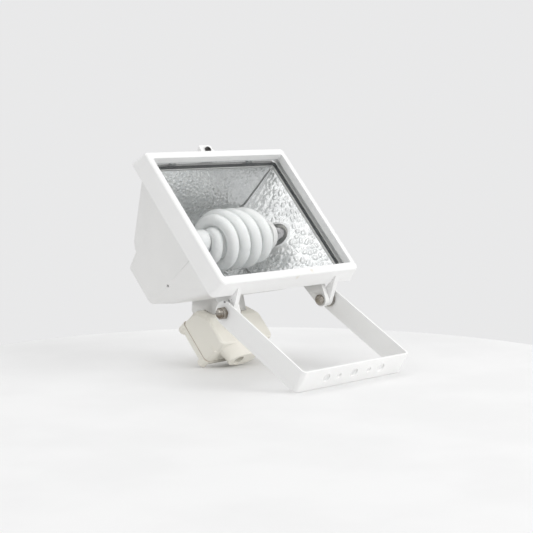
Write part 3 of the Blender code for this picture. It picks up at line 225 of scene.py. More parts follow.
# %% Studio
BACKDROP_GREY = 0.815
TABLE_RADIUS = 0.3425
TABLE_MIDDLE = Vector((-0.0510, -0.0448, 0.0))
TABLE_AWAY = Vector((-math.sin(CAMERA_TURN), math.cos(CAMERA_TURN), 0.0))
TABLE_SIDE = Vector((math.cos(CAMERA_TURN), math.sin(CAMERA_TURN), 0.0))
TABLE_NEAR = 0.60
TABLE_THICKNESS = 0.03
TABLE_SIDES = 96
SKY_STRENGTH = 0.72
MIRRORED_SKY = ((0.30, (0.42, 0.43, 0.44, 1.0)), (0.86, (1.0, 1.0, 1.0, 1.0)))
LAMP_AIM = Vector((0.0, 0.0, 0.1))
LAMPS = (("key_lamp", (0.60, -1.75, 0.80), (1.5, 1.2), 18.0, False),
         ("fill_lamp", (-1.5, 0.1, 1.1), (1.0, 1.0), 2.5, True),
         ("top_lamp", (0.1, 0.5, 1.8), (1.2, 1.2), 6.0, True))


def stage_mesh(name, verts, faces, paint):
    mesh = bpy.data.meshes.new(name)
    mesh.from_pydata(verts, [], faces)
    mesh.materials.append(paint)
    placed(name, mesh)


def area_lamp(name, place, size, power, mirrored):
    """A soft lamp aimed at the light; only a mirrored one shows in polished metal."""
    data = bpy.data.lights.new(name, "AREA")
    data.shape = "RECTANGLE"
    data.size, data.size_y = size
    data.energy = power
    made = placed(name, data)
    made.location = place
    made.rotation_mode = "QUATERNION"
    made.rotation_quaternion = (LAMP_AIM - Vector(place)).to_track_quat("-Z", "Y")
    made.visible_glossy = mirrored


def table_finish():
    finish = Finish("table_white", Roughness=0.55, Specular_IOR_Level=0.25)
    cloud = finish.noise(9.0, 3.0)
    colour = finish.blend(cloud.step(0.35, 0.65), shade(0.85), shade(0.88))
    return finish.drive(Base_Color=colour)


table_ring = []
for step in range(TABLE_SIDES + 1):
    turn = math.pi * step / TABLE_SIDES
    spoke = TABLE_SIDE * math.cos(turn) + TABLE_AWAY * math.sin(turn)
    table_ring.append(TABLE_MIDDLE + TABLE_RADIUS * spoke)
for sign in (-1, 1):
    table_ring.append(TABLE_MIDDLE + TABLE_SIDE * sign * TABLE_RADIUS - TABLE_AWAY * TABLE_NEAR)
count = len(table_ring)
rim = table_ring + [point - Vector((0.0, 0.0, TABLE_THICKNESS)) for point in table_ring]
rim_faces = [(k, (k + 1) % count, count + (k + 1) % count, count + k) for k in range(count)]
table_paint = table_finish()
stage_mesh("table_top", table_ring, [tuple(range(count))], table_paint)
stage_mesh("table_side", rim, rim_faces, table_paint)

world = bpy.data.worlds.new("studio")
scene.world = world
world.use_nodes = True
sky = world.node_tree
light_sky = sky.nodes["Background"]
light_sky.inputs["Color"].default_value = shade(1.0)
light_sky.inputs["Strength"].default_value = SKY_STRENGTH
rays = add_node(sky, "ShaderNodeLightPath")
direction = add_node(sky, "ShaderNodeTexCoord")
split = add_node(sky, "ShaderNodeSeparateXYZ", None, {0: direction.outputs["Generated"]})
rise = add_node(sky, "ShaderNodeMapRange", None, {"Value": split.outputs["Z"], "From Min": -1.0})
ramp = add_node(sky, "ShaderNodeValToRGB", None, {"Fac": rise.outputs["Result"]})
for stop, (at, colour) in zip(ramp.color_ramp.elements, MIRRORED_SKY):
    stop.position = at
    stop.color = colour
mirrored_sky = add_node(sky, "ShaderNodeBackground", None, {"Color": ramp.outputs["Color"]})
seen_sky = add_node(sky, "ShaderNodeBackground", None,
                    {"Color": shade(BACKDROP_GREY, (1.0, 1.0, 1.005))})
seen = add_node(sky, "ShaderNodeMath", {"operation": "MAXIMUM"},
                {0: rays.outputs["Is Camera Ray"], 1: rays.outputs["Is Transmission Ray"]})
unseen_mix = add_node(sky, "ShaderNodeMixShader", None,
                      {0: rays.outputs["Is Glossy Ray"], 1: light_sky.outputs[0],
                       2: mirrored_sky.outputs[0]})
sky_mix = add_node(sky, "ShaderNodeMixShader", None,
                   {0: seen.outputs[0], 1: unseen_mix.outputs[0], 2: seen_sky.outputs[0]})
sky.links.new(sky_mix.outputs[0], sky.nodes["World Output"].inputs["Surface"])

for lamp in LAMPS:
    area_lamp(*lamp)
scene.view_settings.view_transform = "Standard"
print("studio: table, world and", len(LAMPS), "lamps")

# %% [markdown]
# ## From the frame's own face to the world
#
# The head was drawn square to the glass: x across, depth behind the front plane and height above
# the middle of the frame. It hangs in the bracket at a tilt. One function turns those coordinates
# into the world's, so each formula below stays as simple as it was on the drawing board.

# %% Face coordinates
TILT = math.radians(41.5)
HINGE = Vector((0.0, -0.01334, 0.05990))
HINGE_DEPTH = 0.0322
HINGE_DROP = 0.0822


def to_world(x, depth, height):
    back = depth - HINGE_DEPTH
    up = height + HINGE_DROP
    return Vector((x, HINGE.y + back * math.cos(TILT) + up * math.sin(TILT),
                   HINGE.z - back * math.sin(TILT) + up * math.cos(TILT)))


def face_vector(x, depth, height):
    return to_world(x, depth, height) - to_world(0.0, 0.0, 0.0)


print("middle of the glass:", tuple(round(v, 4) for v in to_world(0.0, 0.0, 0.0)))

# %% [markdown]
# ## White powder coat
#
# The bracket, the casting and the front frame are painted white. Powder coat isn't a flat white:
# it flows into a faint orange peel, gathers a warmer tone in places, and wears through at the
# corners. A fine noise gives the peel as bump, a coarse one moves the tone by a percent or two,
# and the stains and chips are masks of noise that are almost everywhere zero. Over the two hinge
# bolts a near-black patch with a ragged edge is painted shade: the shadow in the gap between the
# bracket arm's rounded end and its lug.

# %% White paint
# painted shade: the near-black of the shadow in the gap between each bracket arm's rounded end and
# its lug, over the hinge bolts
HINGE_GAP_SHADE = (0.075, 0.070, 0.075, 1.0)
HINGE_GAP_SHADOWS = ((HINGE + Vector((-0.068, -0.003, 0.0095)), 0.0052),
           (HINGE + Vector((0.068, 0.001, 0.0085)), 0.0035))


def white_paint(name, tone, tint, wear=1.0, stains=()):
    finish = Finish(name, Coat_Weight=0.12, Coat_Roughness=0.22, Specular_IOR_Level=0.42)
    clouds = finish.noise(14.0, 4.0, 0.6)
    grime = finish.noise(48.0, 5.0, 0.65, warp=0.4).step(0.62, 0.86) * 0.5 * wear
    colour = finish.blend(clouds.step(0.3, 0.7), shade(tone, tint), shade(tone * 1.03, tint))
    colour = finish.blend(grime, colour, shade(tone * 0.93, (1.0, 0.985, 0.95)))
    patches = finish.noise(35.0, 2.0).step(0.55, 0.66)
    speck = finish.noise(420.0, 2.0, 0.5).step(0.765, 0.80) * patches * wear
    colour = finish.blend(speck * 0.55, colour, shade(0.30, (1.0, 0.92, 0.82)))
    for middle, size, strength, stain_tint in stains:
        edge = finish.noise(260.0, 3.0) * size * 1.2 + finish.distance(middle)
        mask = (1.0 - edge.step(size * 0.6, size * 1.7)) * strength
        colour = finish.blend(mask, colour, stain_tint)
    # painted shade: a near-black patch with a ragged, flaky edge round each hinge bolt, standing in
    # for the shadow between arm and lug
    for middle, size in HINGE_GAP_SHADOWS:
        near = 1.0 - finish.distance(middle).step(size * 0.7, size)
        ragged_shade = finish.noise(330.0, 3.0, 0.6, warp=0.6).step(0.56, 0.60)
        colour = finish.blend(near * ragged_shade * 0.85, colour, HINGE_GAP_SHADE)
    peel = finish.noise(900.0, 2.0, 0.45) * 0.000028 + finish.noise(240.0, 2.0) * 0.000045
    rough = 0.36 + clouds * 0.10 + grime * 0.25
    return finish.drive(Base_Color=colour, Roughness=rough, Normal=finish.relief(peel))


STAIN = shade(0.62, (1.0, 0.90, 0.66))
paint_frame = white_paint("frame_paint", 0.86, (1.0, 1.0, 0.995),
                          stains=((to_world(0.026, 0.0, -0.0700), 0.0028, 0.45, STAIN),
                                  (to_world(0.006, 0.003, -0.0725), 0.0034, 0.40, STAIN)))
paint_casting = white_paint("casting_paint", 0.82, (1.0, 0.998, 0.985))
paint_bracket = white_paint("bracket_paint", 0.86, (1.0, 1.0, 0.992), wear=1.2)
print("white paints: frame, casting, bracket")

# %% [markdown]
# ## Moulded plastics and silicone
#
# The terminal box is a cream plastic moulded in a lightly blasted tool: nearly matt, a warm white
# with a faint flow pattern, and a grain far finer than the paint's. The glass seal is a pale
# silicone and the gasket behind the frame a dark one. They share one recipe. Dirt gathers in the
# parting line between box and lid, so that line is drawn as a thin brown band on both.

# %% Plastics and seals
PARTING_DEPTH = 0.11015
LINE_BROWN = (0.36, 0.27, 0.18, 1.0)


def moulded(name, colour_low, colour_high, rough, grain=0.000012, grain_scale=1500.0,
            parting=False):
    finish = Finish(name, Specular_IOR_Level=0.42)
    flow = finish.noise(22.0, 3.0, 0.55, warp=0.8, stretch=(1.0, 1.0, 0.5))
    dust = finish.noise(95.0, 5.0, 0.7).step(0.60, 0.82)
    colour = finish.blend(flow.step(0.3, 0.7), colour_low, colour_high)
    worn = tuple(v * 0.94 for v in colour_low[:3]) + (1.0,)
    colour = finish.blend(dust * 0.45, colour, worn)
    if parting:
        backwards = face_vector(0.0, 1.0, 0.0)
        along = finish.node("ShaderNodeVectorMath", {"operation": "DOT_PRODUCT"},
                            {0: finish.place, 1: backwards}, "Value")
        line = to_world(0.0, PARTING_DEPTH, 0.0).dot(backwards)
        away = finish.node("ShaderNodeMath", {"operation": "ABSOLUTE"}, {0: along - line})
        near = 1.0 - away.step(0.00025, 0.0007)
        colour = finish.blend(near * (0.45 + dust * 0.5), colour, LINE_BROWN)
    height = finish.noise(grain_scale, 2.0, 0.6) * grain + flow * 0.00004
    return finish.drive(Base_Color=colour, Roughness=rough + flow * 0.08 + dust * 0.06,
                        Normal=finish.relief(height))


cream = moulded("cream_plastic", (0.815, 0.790, 0.715, 1.0), (0.840, 0.818, 0.748, 1.0), 0.42,
                parting=True)
block_white = moulded("block_plastic", (0.80, 0.79, 0.75, 1.0), (0.83, 0.82, 0.78, 1.0), 0.38)
lamp_white = moulded("lamp_plastic", (0.83, 0.83, 0.82, 1.0), (0.86, 0.86, 0.85, 1.0), 0.24,
                     grain=0.000006)
pale_silicone = moulded("pale_silicone", (0.64, 0.66, 0.66, 1.0), (0.70, 0.72, 0.72, 1.0), 0.50)
dark_silicone = moulded("dark_silicone", (0.035, 0.037, 0.040, 1.0), (0.055, 0.057, 0.060, 1.0),
                        0.46)
ceramic = moulded("ceramic", (0.78, 0.76, 0.71, 1.0), (0.83, 0.81, 0.77, 1.0), 0.55,
                  grain=0.00002, grain_scale=1100.0)
sleeve = moulded("wire_sleeve", (0.74, 0.72, 0.66, 1.0), (0.79, 0.77, 0.71, 1.0), 0.45)
print("plastics, silicones and ceramic ready")

# %% [markdown]
# ## Metals
#
# The fasteners are zinc-plated steel: a brownish dark mirror with fine turning marks. The latch
# screw is blackened, and the contacts are brass. Their recipe is a metal whose roughness wanders
# and whose colour darkens in blotches, as handled plating does.

# %% Steel and brass
def plated(name, bright, dull, rough, blotch=0.35):
    finish = Finish(name, Metallic=1.0)
    patches = finish.noise(150.0, 4.0, 0.6, warp=0.5)
    pits = finish.noise(1300.0, 2.0, 0.6)
    colour = finish.blend(patches.step(0.35, 0.75) * blotch * 2.0, bright, dull)
    return finish.drive(Base_Color=colour, Roughness=rough + patches * 0.16,
                        Normal=finish.relief(pits * 0.000006 + patches * 0.00002))


zinc = plated("zinc_steel", (0.46, 0.43, 0.39, 1.0), (0.17, 0.14, 0.11, 1.0), 0.13, blotch=0.6)
washer_steel = plated("washer_steel", (0.40, 0.38, 0.35, 1.0), (0.20, 0.17, 0.15, 1.0), 0.24)
black_steel = plated("blackened_steel", (0.085, 0.082, 0.080, 1.0), (0.035, 0.033, 0.032, 1.0),
                     0.30)
brass = plated("contact_brass", (0.70, 0.53, 0.27, 1.0), (0.48, 0.34, 0.16, 1.0), 0.20)
clip_metal = plated("clip_metal", (0.58, 0.59, 0.60, 1.0), (0.42, 0.42, 0.43, 1.0), 0.26)
print("metals ready")

# %% [markdown]
# ## Hammered aluminium
#
# The reflector is bright rolled sheet with a hammered pattern, which spreads the light. The
# pebbles themselves are real geometry, made further down. The finish adds what is finer than a
# pebble: rolling lines, a slight tarnish in the hollows and a roughness that changes from pebble
# to pebble.

# %% Hammered sheet
def hammered_sheet():
    finish = Finish("hammered_aluminium", Metallic=1.0)
    tarnish = finish.noise(60.0, 4.0, 0.6)
    fine = finish.noise(800.0, 3.0, 0.55)
    cell = finish.node("ShaderNodeTexVoronoi", {"feature": "SMOOTH_F1"},
                       {"Vector": finish.place, "Scale": 420.0, "Smoothness": 0.6}, "Distance")
    colour = finish.blend(tarnish.step(0.35, 0.7),
                          (0.86, 0.865, 0.865, 1.0), (0.77, 0.775, 0.78, 1.0))
    height = cell * 0.00007 + fine * 0.00002
    return finish.drive(Base_Color=colour, Roughness=0.17 + tarnish * 0.12 + fine * 0.05,
                        Normal=finish.relief(height))


hammered = hammered_sheet()
print("hammered aluminium ready")

# %% [markdown]
# ## Clear glass
#
# Toughened float glass is nearly invisible face on and mirrors the room at a slant. A refracting
# shader would throw hard caustics and hide the lamp from the light, so the pane is a thin mirror
# whose alpha is the Fresnel reflection: light passes, and only the gloss stays. Dust lifts the
# alpha a little in clouds.

# %% Glass
def clear_glass():
    finish = Finish("clear_glass", Metallic=1.0, Roughness=0.03)
    slant = finish.node("ShaderNodeLayerWeight", None, {"Blend": 0.5}, "Facing")
    gloss = 0.04 + 0.96 * slant ** 5
    dust = finish.noise(30.0, 5.0, 0.65).step(0.45, 0.8) * 0.012
    smear = finish.noise(55.0, 3.0, 0.6)
    tint = finish.blend(smear.step(0.3, 0.8),
                        (0.90, 0.95, 0.93, 1.0), (0.93, 0.96, 0.95, 1.0))
    return finish.drive(Base_Color=tint, Roughness=0.02 + smear * 0.03,
                        Alpha=(gloss + 0.008 + dust).clamped(),
                        Normal=finish.relief(finish.noise(18.0, 1.0) * 0.00006))


glass = clear_glass()
print("clear glass ready")

# %% [markdown]
# ## The lamp's coating
#
# A fluorescent tube is a glass tube with a white powder inside: opal, slightly cool, and glossy
# on the outside. Subsurface scattering at tube scale gives the soft opal look, and the powder's
# uneven density shows as faint bands along the coil.

# %% Opal tube
def opal_tube():
    finish = Finish("opal_tube", Coat_Weight=0.9, Coat_Roughness=0.05, Specular_IOR_Level=0.5,
                    Subsurface_Weight=0.12, Subsurface_Radius=(0.003, 0.0032, 0.0034),
                    Subsurface_Scale=0.5)
    powder = finish.noise(70.0, 4.0, 0.6)
    specks = finish.noise(650.0, 2.0).step(0.70, 0.82)
    colour = finish.blend(powder.step(0.3, 0.7),
                          (0.93, 0.95, 0.945, 1.0), (0.95, 0.965, 0.96, 1.0))
    colour = finish.blend(specks * 0.10, colour, (0.70, 0.72, 0.72, 1.0))
    return finish.drive(Base_Color=colour, Roughness=0.22 + powder * 0.12,
                        Normal=finish.relief(powder * 0.00008))


opal = opal_tube()
print("opal tube ready")

# %% [markdown]
# ## From mesh to piece
#
# Each new piece stands for one or more solids of the construction and rides on their body, so
# the dressed light moves as the construction does.

# %% Pieces
dressed = {}


def body_of_node(node):
    for body, members in frame["record"]["behaviour"]["bodies"].items():
        if node in members:
            return body


def finished(name, mesh, nodes, smooth):
    """A piece that stands for the nodes; edges sharper than smooth, in degrees, stay sharp."""
    mesh.name = name
    for face in mesh.polygons:
        face.use_smooth = True
    mesh.set_sharp_from_angle(angle=math.radians(smooth))
    piece = placed(name, mesh)
    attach(piece, body_of_node(nodes[0]))
    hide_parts(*nodes)
    return piece


def stand_in(node, bm, paint, smooth=38.0):
    """One painted piece in the place of one node."""
    mesh = mesh_from(bm, node + "_dressed")
    mesh.materials.clear()
    mesh.materials.append(paint)
    for face in mesh.polygons:
        face.material_index = 0
    piece = finished(node + "_dressed", mesh, [node], smooth)
    piece.modifiers.new("even_normals", "WEIGHTED_NORMAL").keep_sharp = True
    dressed[node] = piece
    return piece


# %% [markdown]
# ## Rounding the solids
#
# The construction's solids have knife edges. Cast, folded and moulded pieces never do: a small
# radius on every edge catches the light as a thin line, and that line is most of what makes a
# render look solid. Each solid is copied, its doubles are merged, its flat triangles dissolved
# into faces and its sharp edges bevelled. A bevel that folds over itself leaves the surface or
# changes the area, so the copy is measured against its solid and tried again with less.

# %% Rounded copies
MERGE_DISTANCE = 2e-5
FLAT_ANGLE = math.radians(0.6)
SHARP_ANGLE = math.radians(32.0)
RADIUS_SHARES = (1.0, 0.75, 0.5, 0.35, 0.2)
MOST_STRAY = 1.5
LEAST_AREA = 0.85
MOST_AREA = 1.015
rounding = {}


def solid_mesh(node):
    """The node's shape as a clean bmesh."""
    bm = bmesh.new()
    bm.from_mesh(frame["nodes"][node].data)
    bmesh.ops.remove_doubles(bm, verts=bm.verts, dist=MERGE_DISTANCE)
    bmesh.ops.dissolve_limit(bm, angle_limit=FLAT_ANGLE, verts=bm.verts, edges=bm.edges)
    return bm


def split_large_faces(bm):
    bmesh.ops.triangulate(bm, faces=[face for face in bm.faces if len(face.verts) > 4])


def strays(bm, surface):
    """The largest distance of the mesh's points from the solid's surface."""
    return max(surface.find_nearest(vert.co)[3] for vert in bm.verts)


def rounded_copy(node, paint, radius):
    """Bevels with the widest radius, up to the one given, at which the copy stays on its solid."""
    plain = solid_mesh(node)
    surface = BVHTree.FromBMesh(plain)
    area = sum(face.calc_area() for face in plain.faces)
    for share in RADIUS_SHARES:
        bm = plain.copy()
        edges = [edge for edge in bm.edges
                 if len(edge.link_faces) == 2 and edge.calc_face_angle(0.0) > SHARP_ANGLE]
        bmesh.ops.bevel(bm, geom=edges, offset=radius * share, offset_type="OFFSET", segments=2,
                        profile=0.5, affect="EDGES", clamp_overlap=False)
        split_large_faces(bm)
        grown = sum(face.calc_area() for face in bm.faces) / area
        near = strays(bm, surface) < MOST_STRAY * radius * share
        if near and LEAST_AREA < grown < MOST_AREA:
            plain.free()
            rounding[node] = round(1000 * radius * share, 2)
            return stand_in(node, bm, paint)
        bm.free()
    rounding[node] = 0.0
    split_large_faces(plain)
    return stand_in(node, plain, paint)


ROUNDED = {
    "bracket": (paint_bracket, 0.00035), "housing": (paint_casting, 0.0005),
    "front_frame": (paint_frame, 0.00035), "door_gasket": (dark_silicone, 0.0002),
    "glass_seal": (pale_silicone, 0.0002), "terminal_box": (cream, 0.0004),
    "terminal_box_lid": (cream, 0.0004), "terminal_block": (block_white, 0.0003),
    "lamp_base": (lamp_white, 0.0002), "lamp_tip_cup": (opal, 0.0002),
}
SIDES = (("left", -1), ("right", 1))
CORNERS = ["%s_%s" % (row, side) for side, sign in SIDES for row in ("lower", "upper")]
for side, sign in SIDES:
    ROUNDED["lampholder_" + side] = (ceramic, 0.0003)
    ROUNDED["lead_" + side] = (sleeve, 0.0)
    ROUNDED["lamp_cap_" + side] = (ceramic, 0.0002)
    ROUNDED["contact_pin_" + side] = (brass, 0.0001)
    ROUNDED["hinge_washer_" + side] = (washer_steel, 0.0002)
    ROUNDED["hinge_bolt_" + side] = (zinc, 0.0003)
for corner in CORNERS:
    ROUNDED["glass_clip_" + corner] = (clip_metal, 0.0001)
for node, (paint, radius) in ROUNDED.items():
    if radius:
        rounded_copy(node, paint, radius)
    else:
        stand_in(node, solid_mesh(node), paint, smooth=60.0)
print("edge radii, mm:", rounding)

# %% [markdown]
# ## Bright sleeves in the lampholders
#
# Each holder is a ceramic block with a sleeve that reaches through the cheek. On the real light
# the sleeve wears a drawn, polished metal collar, and it is all one sees of the holder. The faces
# of the sleeve take that finish and the block keeps its ceramic one.

# %% Sleeve finish
chrome = plated("sleeve_chrome", (0.62, 0.61, 0.62, 1.0), (0.34, 0.32, 0.33, 1.0), 0.08, blotch=0.3)
SLEEVE_END = 0.0712
for side, sign in SIDES:
    holder = dressed["lampholder_" + side].data
    holder.materials.append(chrome)
    for face in holder.polygons:
        if abs(face.center.x) < SLEEVE_END:
            face.material_index = 1
    print(side, "sleeve faces:", sum(face.material_index for face in holder.polygons))

# %% [markdown]
# ## The glass pane
#
# The pane keeps the construction's own solid: float glass is a flat sheet with a ground edge, and
# nothing about its shape needs changing. It only takes the clear finish.

# %% Pane
for slot in frame["nodes"]["front_glass"].material_slots:
    slot.material = glass

# %% [markdown]
# ## A small kit for Geometry Nodes
#
# The repeated and rule-following pieces are made by node trees. One helper starts a tree with
# named inputs, one ends it with real geometry in its finish, and one turns the evaluated result
# into a plain mesh, because instances aren't kept in an exported model.

# %% Geometry Nodes helpers
def new_tree(name, inputs):
    """A tree with the named inputs and, last, its finish."""
    tree = bpy.data.node_groups.new(name, "GeometryNodeTree")
    tree.interface.new_socket("Geometry", in_out="INPUT", socket_type="NodeSocketGeometry")
    keys = {}
    for label, kind in (*inputs.items(), ("Finish", "NodeSocketMaterial")):
        socket = tree.interface.new_socket(label, in_out="INPUT", socket_type=kind)
        keys[label] = socket.identifier
    tree.interface.new_socket("Geometry", in_out="OUTPUT", socket_type="NodeSocketGeometry")
    return tree, keys, add_node(tree, "NodeGroupInput")


def end_tree(tree, given, geometry):
    real = add_node(tree, "GeometryNodeRealizeInstances", None, {0: geometry})
    paint = add_node(tree, "GeometryNodeSetMaterial", None,
                     {"Geometry": real.outputs[0], "Material": given.outputs["Finish"]})
    add_node(tree, "NodeGroupOutput", None, {0: paint.outputs[0]})


def grown_mesh(name, start, tree, keys, values):
    """Runs the tree on a mesh and returns the result as a plain mesh."""
    grower = placed(name + "_grower", start)
    modifier = grower.modifiers.new("grow", "NODES")
    modifier.node_group = tree
    for label, value in values.items():
        modifier[keys[label]] = value
    graph = bpy.context.evaluated_depsgraph_get()
    mesh = bpy.data.meshes.new_from_object(grower.evaluated_get(graph))
    bpy.data.objects.remove(grower, do_unlink=True)
    return mesh


print("Geometry Nodes helpers ready")

# %% [markdown]
# ## The centre line of the spiral lamp
#
# The lamp is one glass tube wound double: two starts run side by side from the base on the right
# to the tip on the left, where they meet in an S. Each start comes straight out of the base,
# winds out to the coil's radius, keeps its pitch and winds in again, all as one formula.

# %% Lamp centre line
LAMP_DEPTH = 0.0420
LAMP_HEIGHT = 0.0015
COIL_RADIUS = 0.0228
TUBE_RADIUS = 0.0057
COIL_PITCH = 0.0304
COIL_RIGHT = 0.0260
LEG_RADIUS = 0.0075
LEG_END = 0.0460
LEG_LENGTH = 2 * TUBE_RADIUS
LEG_POINTS = 10
TIP_RADIUS = 0.0124
TIP_X = -0.0282
TIP_TURNS = 0.5
TIP_POINTS = 26
LEAD_TURNS = 0.55
LEAD_SLOPE = -0.006
LEAD_SPIN = 1.3
FULL_TURNS = 1.5
TURN_POINTS = 72
FIRST_ANGLE = math.radians(213)


def hermite(start, end, slope_start, slope_end, part):
    square = part * part
    cube = square * part
    return ((2 * cube - 3 * square + 1) * start + (cube - 2 * square + part) * slope_start
            + (3 * square - 2 * cube) * end + (cube - square) * slope_end)


def coil_start(turn):
    """Where one start is along the lamp, and its radius, after so many turns."""
    if turn < 0:
        part = (turn + LEAD_TURNS) / LEAD_TURNS
        radius = hermite(LEG_RADIUS, COIL_RADIUS, 0.0, 0.0, part)
        x = hermite(LEG_END - LEG_LENGTH, COIL_RIGHT, LEAD_SLOPE, -COIL_PITCH * LEAD_TURNS, part)
        return x, radius
    if turn <= FULL_TURNS:
        return COIL_RIGHT - COIL_PITCH * turn, COIL_RADIUS
    part = (turn - FULL_TURNS) / TIP_TURNS
    radius = hermite(COIL_RADIUS, TIP_RADIUS, 0.0, 0.0, part)
    x = hermite(COIL_RIGHT - COIL_PITCH * FULL_TURNS, TIP_X, -COIL_PITCH * TIP_TURNS, 0.0, part)
    return x, radius


def coil_point(x, radius, turn, half_turn):
    angle = FIRST_ANGLE - math.tau * (turn + half_turn)
    return Vector((x, LAMP_DEPTH + radius * math.cos(angle),
                   LAMP_HEIGHT + radius * math.sin(angle)))


def half_coil(half_turn):
    """One start from the base to the middle of the tip: leg, lead, coil and half of the S."""
    points = []
    for step in range(LEG_POINTS):
        x = LEG_END - LEG_LENGTH * step / LEG_POINTS
        points.append(coil_point(x, LEG_RADIUS, -LEAD_TURNS, half_turn))
    lead = int(TURN_POINTS * LEAD_TURNS)
    for step in range(lead):
        part = step / lead
        turn = hermite(-LEAD_TURNS, 0.0, 0.0, LEAD_TURNS * LEAD_SPIN, part)
        points.append(coil_point(*coil_start(-LEAD_TURNS + LEAD_TURNS * part), turn, half_turn))
    for step in range(int(TURN_POINTS * (FULL_TURNS + TIP_TURNS))):
        turn = step / TURN_POINTS
        points.append(coil_point(*coil_start(turn), turn, half_turn))
    last = FULL_TURNS + TIP_TURNS
    end = coil_point(*coil_start(last), last, half_turn)
    ahead = end - coil_point(*coil_start(last - 0.01), last - 0.01, half_turn)
    ahead.x = 0.0
    ahead.normalize()
    pivot = (end + LAMP_TIP) / 2
    spoke = end - pivot
    for step in range(TIP_POINTS):
        turn = math.pi * step / TIP_POINTS
        points.append(pivot + spoke * math.cos(turn) + ahead * spoke.length * math.sin(turn))
    return points


LAMP_TIP = Vector((TIP_X, LAMP_DEPTH, LAMP_HEIGHT))
lamp_path = half_coil(0.0) + [LAMP_TIP] + list(reversed(half_coil(0.5)))
print("centre line:", len(lamp_path), "stations")

# %% [markdown]
# ## The spiral lamp
#
# A node tree sweeps a round section along the centre line. A sweep is right here because the real
# tube is drawn over a mandrel, with the same section everywhere.

# %% Lamp tube
TUBE_SIDES = 20


def tube_tree():
    tree, keys, given = new_tree("swept_tube", {"Tube radius": "NodeSocketFloat",
                                                "Sides": "NodeSocketInt"})
    path = add_node(tree, "GeometryNodeMeshToCurve", None, {0: given.outputs[0]})
    ring = add_node(tree, "GeometryNodeCurvePrimitiveCircle", None,
                    {"Resolution": given.outputs["Sides"], "Radius": given.outputs["Tube radius"]})
    sweep = add_node(tree, "GeometryNodeCurveToMesh", None,
                     {"Curve": path.outputs[0], "Profile Curve": ring.outputs[0],
                      "Fill Caps": True})
    end_tree(tree, given, sweep.outputs[0])
    return tree, keys


wire = bpy.data.meshes.new("lamp_path")
wire.from_pydata([to_world(*point) for point in lamp_path],
                 [(i, i + 1) for i in range(len(lamp_path) - 1)], [])
tube_mesh = grown_mesh("lamp_tube", wire, *tube_tree(),
                       {"Tube radius": TUBE_RADIUS, "Sides": TUBE_SIDES, "Finish": opal})
finished("lamp_tube_glass", tube_mesh, ["lamp_tube"], 50.0)
print("lamp tube:", len(tube_mesh.vertices), "points")

# %% [markdown]
# ## Hammered sheet, as real relief
#
# The reflector's pebbles are four or five millimetres across and clearly catch the light, so they
# are geometry: a fine grid is laid over the trough and over each cheek, and a node tree lifts it
# by a cell pattern along the sheet's own normal. Each grid carries its own "lift", from zero at a
# trimmed edge, where the sheet lies flat on its neighbours, to one.

# %% Hammer tree
BEND_PER_METRE = 90.0
BEND = 0.0035
CELL_RANDOMNESS = 0.85
PEBBLE_FOOT = 0.02
PEBBLE_TOP = 0.30


def hammer_tree():
    tree, keys, given = new_tree("hammered_relief", {
        "Depth": "NodeSocketFloat", "Cells per metre": "NodeSocketFloat",
        "Stretch": "NodeSocketVector"})
    place = add_node(tree, "GeometryNodeInputPosition")
    normal = add_node(tree, "GeometryNodeInputNormal")
    lift = add_node(tree, "GeometryNodeInputNamedAttribute", {"data_type": "FLOAT"},
                    {"Name": "lift"})
    bend = add_node(tree, "ShaderNodeTexNoise", None,
                    {"Vector": place.outputs[0], "Scale": BEND_PER_METRE, "Detail": 1.0})
    spread = add_node(tree, "ShaderNodeVectorMath", {"operation": "MULTIPLY"},
                      {0: place.outputs[0], 1: given.outputs["Stretch"]})
    shift = add_node(tree, "ShaderNodeVectorMath", {"operation": "SCALE"},
                     {0: bend.outputs["Color"], "Scale": BEND})
    warped = add_node(tree, "ShaderNodeVectorMath", {"operation": "ADD"},
                      {0: spread.outputs[0], 1: shift.outputs[0]})
    cells = add_node(tree, "ShaderNodeTexVoronoi", {"feature": "DISTANCE_TO_EDGE"},
                     {"Vector": warped.outputs[0], "Scale": given.outputs["Cells per metre"],
                      "Randomness": CELL_RANDOMNESS})
    pebble = add_node(tree, "ShaderNodeMapRange", {"interpolation_type": "SMOOTHERSTEP"},
                      {0: cells.outputs["Distance"], 1: PEBBLE_FOOT, 2: PEBBLE_TOP, 3: 0.0, 4: 1.0})
    height = add_node(tree, "ShaderNodeMath", {"operation": "MULTIPLY"},
                      {0: pebble.outputs[0], 1: given.outputs["Depth"]})
    eased = add_node(tree, "ShaderNodeMath", {"operation": "MULTIPLY"},
                     {0: height.outputs[0], 1: lift.outputs[0]})
    offset = add_node(tree, "ShaderNodeVectorMath", {"operation": "SCALE"},
                      {0: normal.outputs[0], "Scale": eased.outputs[0]})
    moved = add_node(tree, "GeometryNodeSetPosition", None,
                     {"Geometry": given.outputs[0], "Offset": offset.outputs[0]})
    end_tree(tree, given, moved.outputs[0])
    return tree, keys


relief_tree, relief_keys = hammer_tree()
print("hammer tree:", len(relief_tree.nodes), "nodes")

# %% [markdown]
# ## Helpers for sheet metal
#
# A sheet starts as rows of points with a lift for each. Its faces are turned towards the lamp,
# the tree hammers it, and then its back follows the relief one thickness behind.

# %% Sheet helpers
def evenly(points, gap):
    """The same line with points one gap apart."""
    run = [0.0]
    for before, after in zip(points, points[1:]):
        run.append(run[-1] + math.dist(before, after))
    count = round(run[-1] / gap)
    spaced = []
    leg = 0
    for step in range(count + 1):
        at = run[-1] * step / count
        while leg < len(run) - 2 and run[leg + 1] < at:
            leg += 1
        part = (at - run[leg]) / (run[leg + 1] - run[leg])
        spaced.append(tuple(a + (b - a) * part for a, b in zip(points[leg], points[leg + 1])))
    return spaced


def fade(distance, width):
    """A smooth rise from zero at the edge to one at the given width."""
    part = min(max(distance / width, 0.0), 1.0)
    return part * part * (3 - 2 * part)


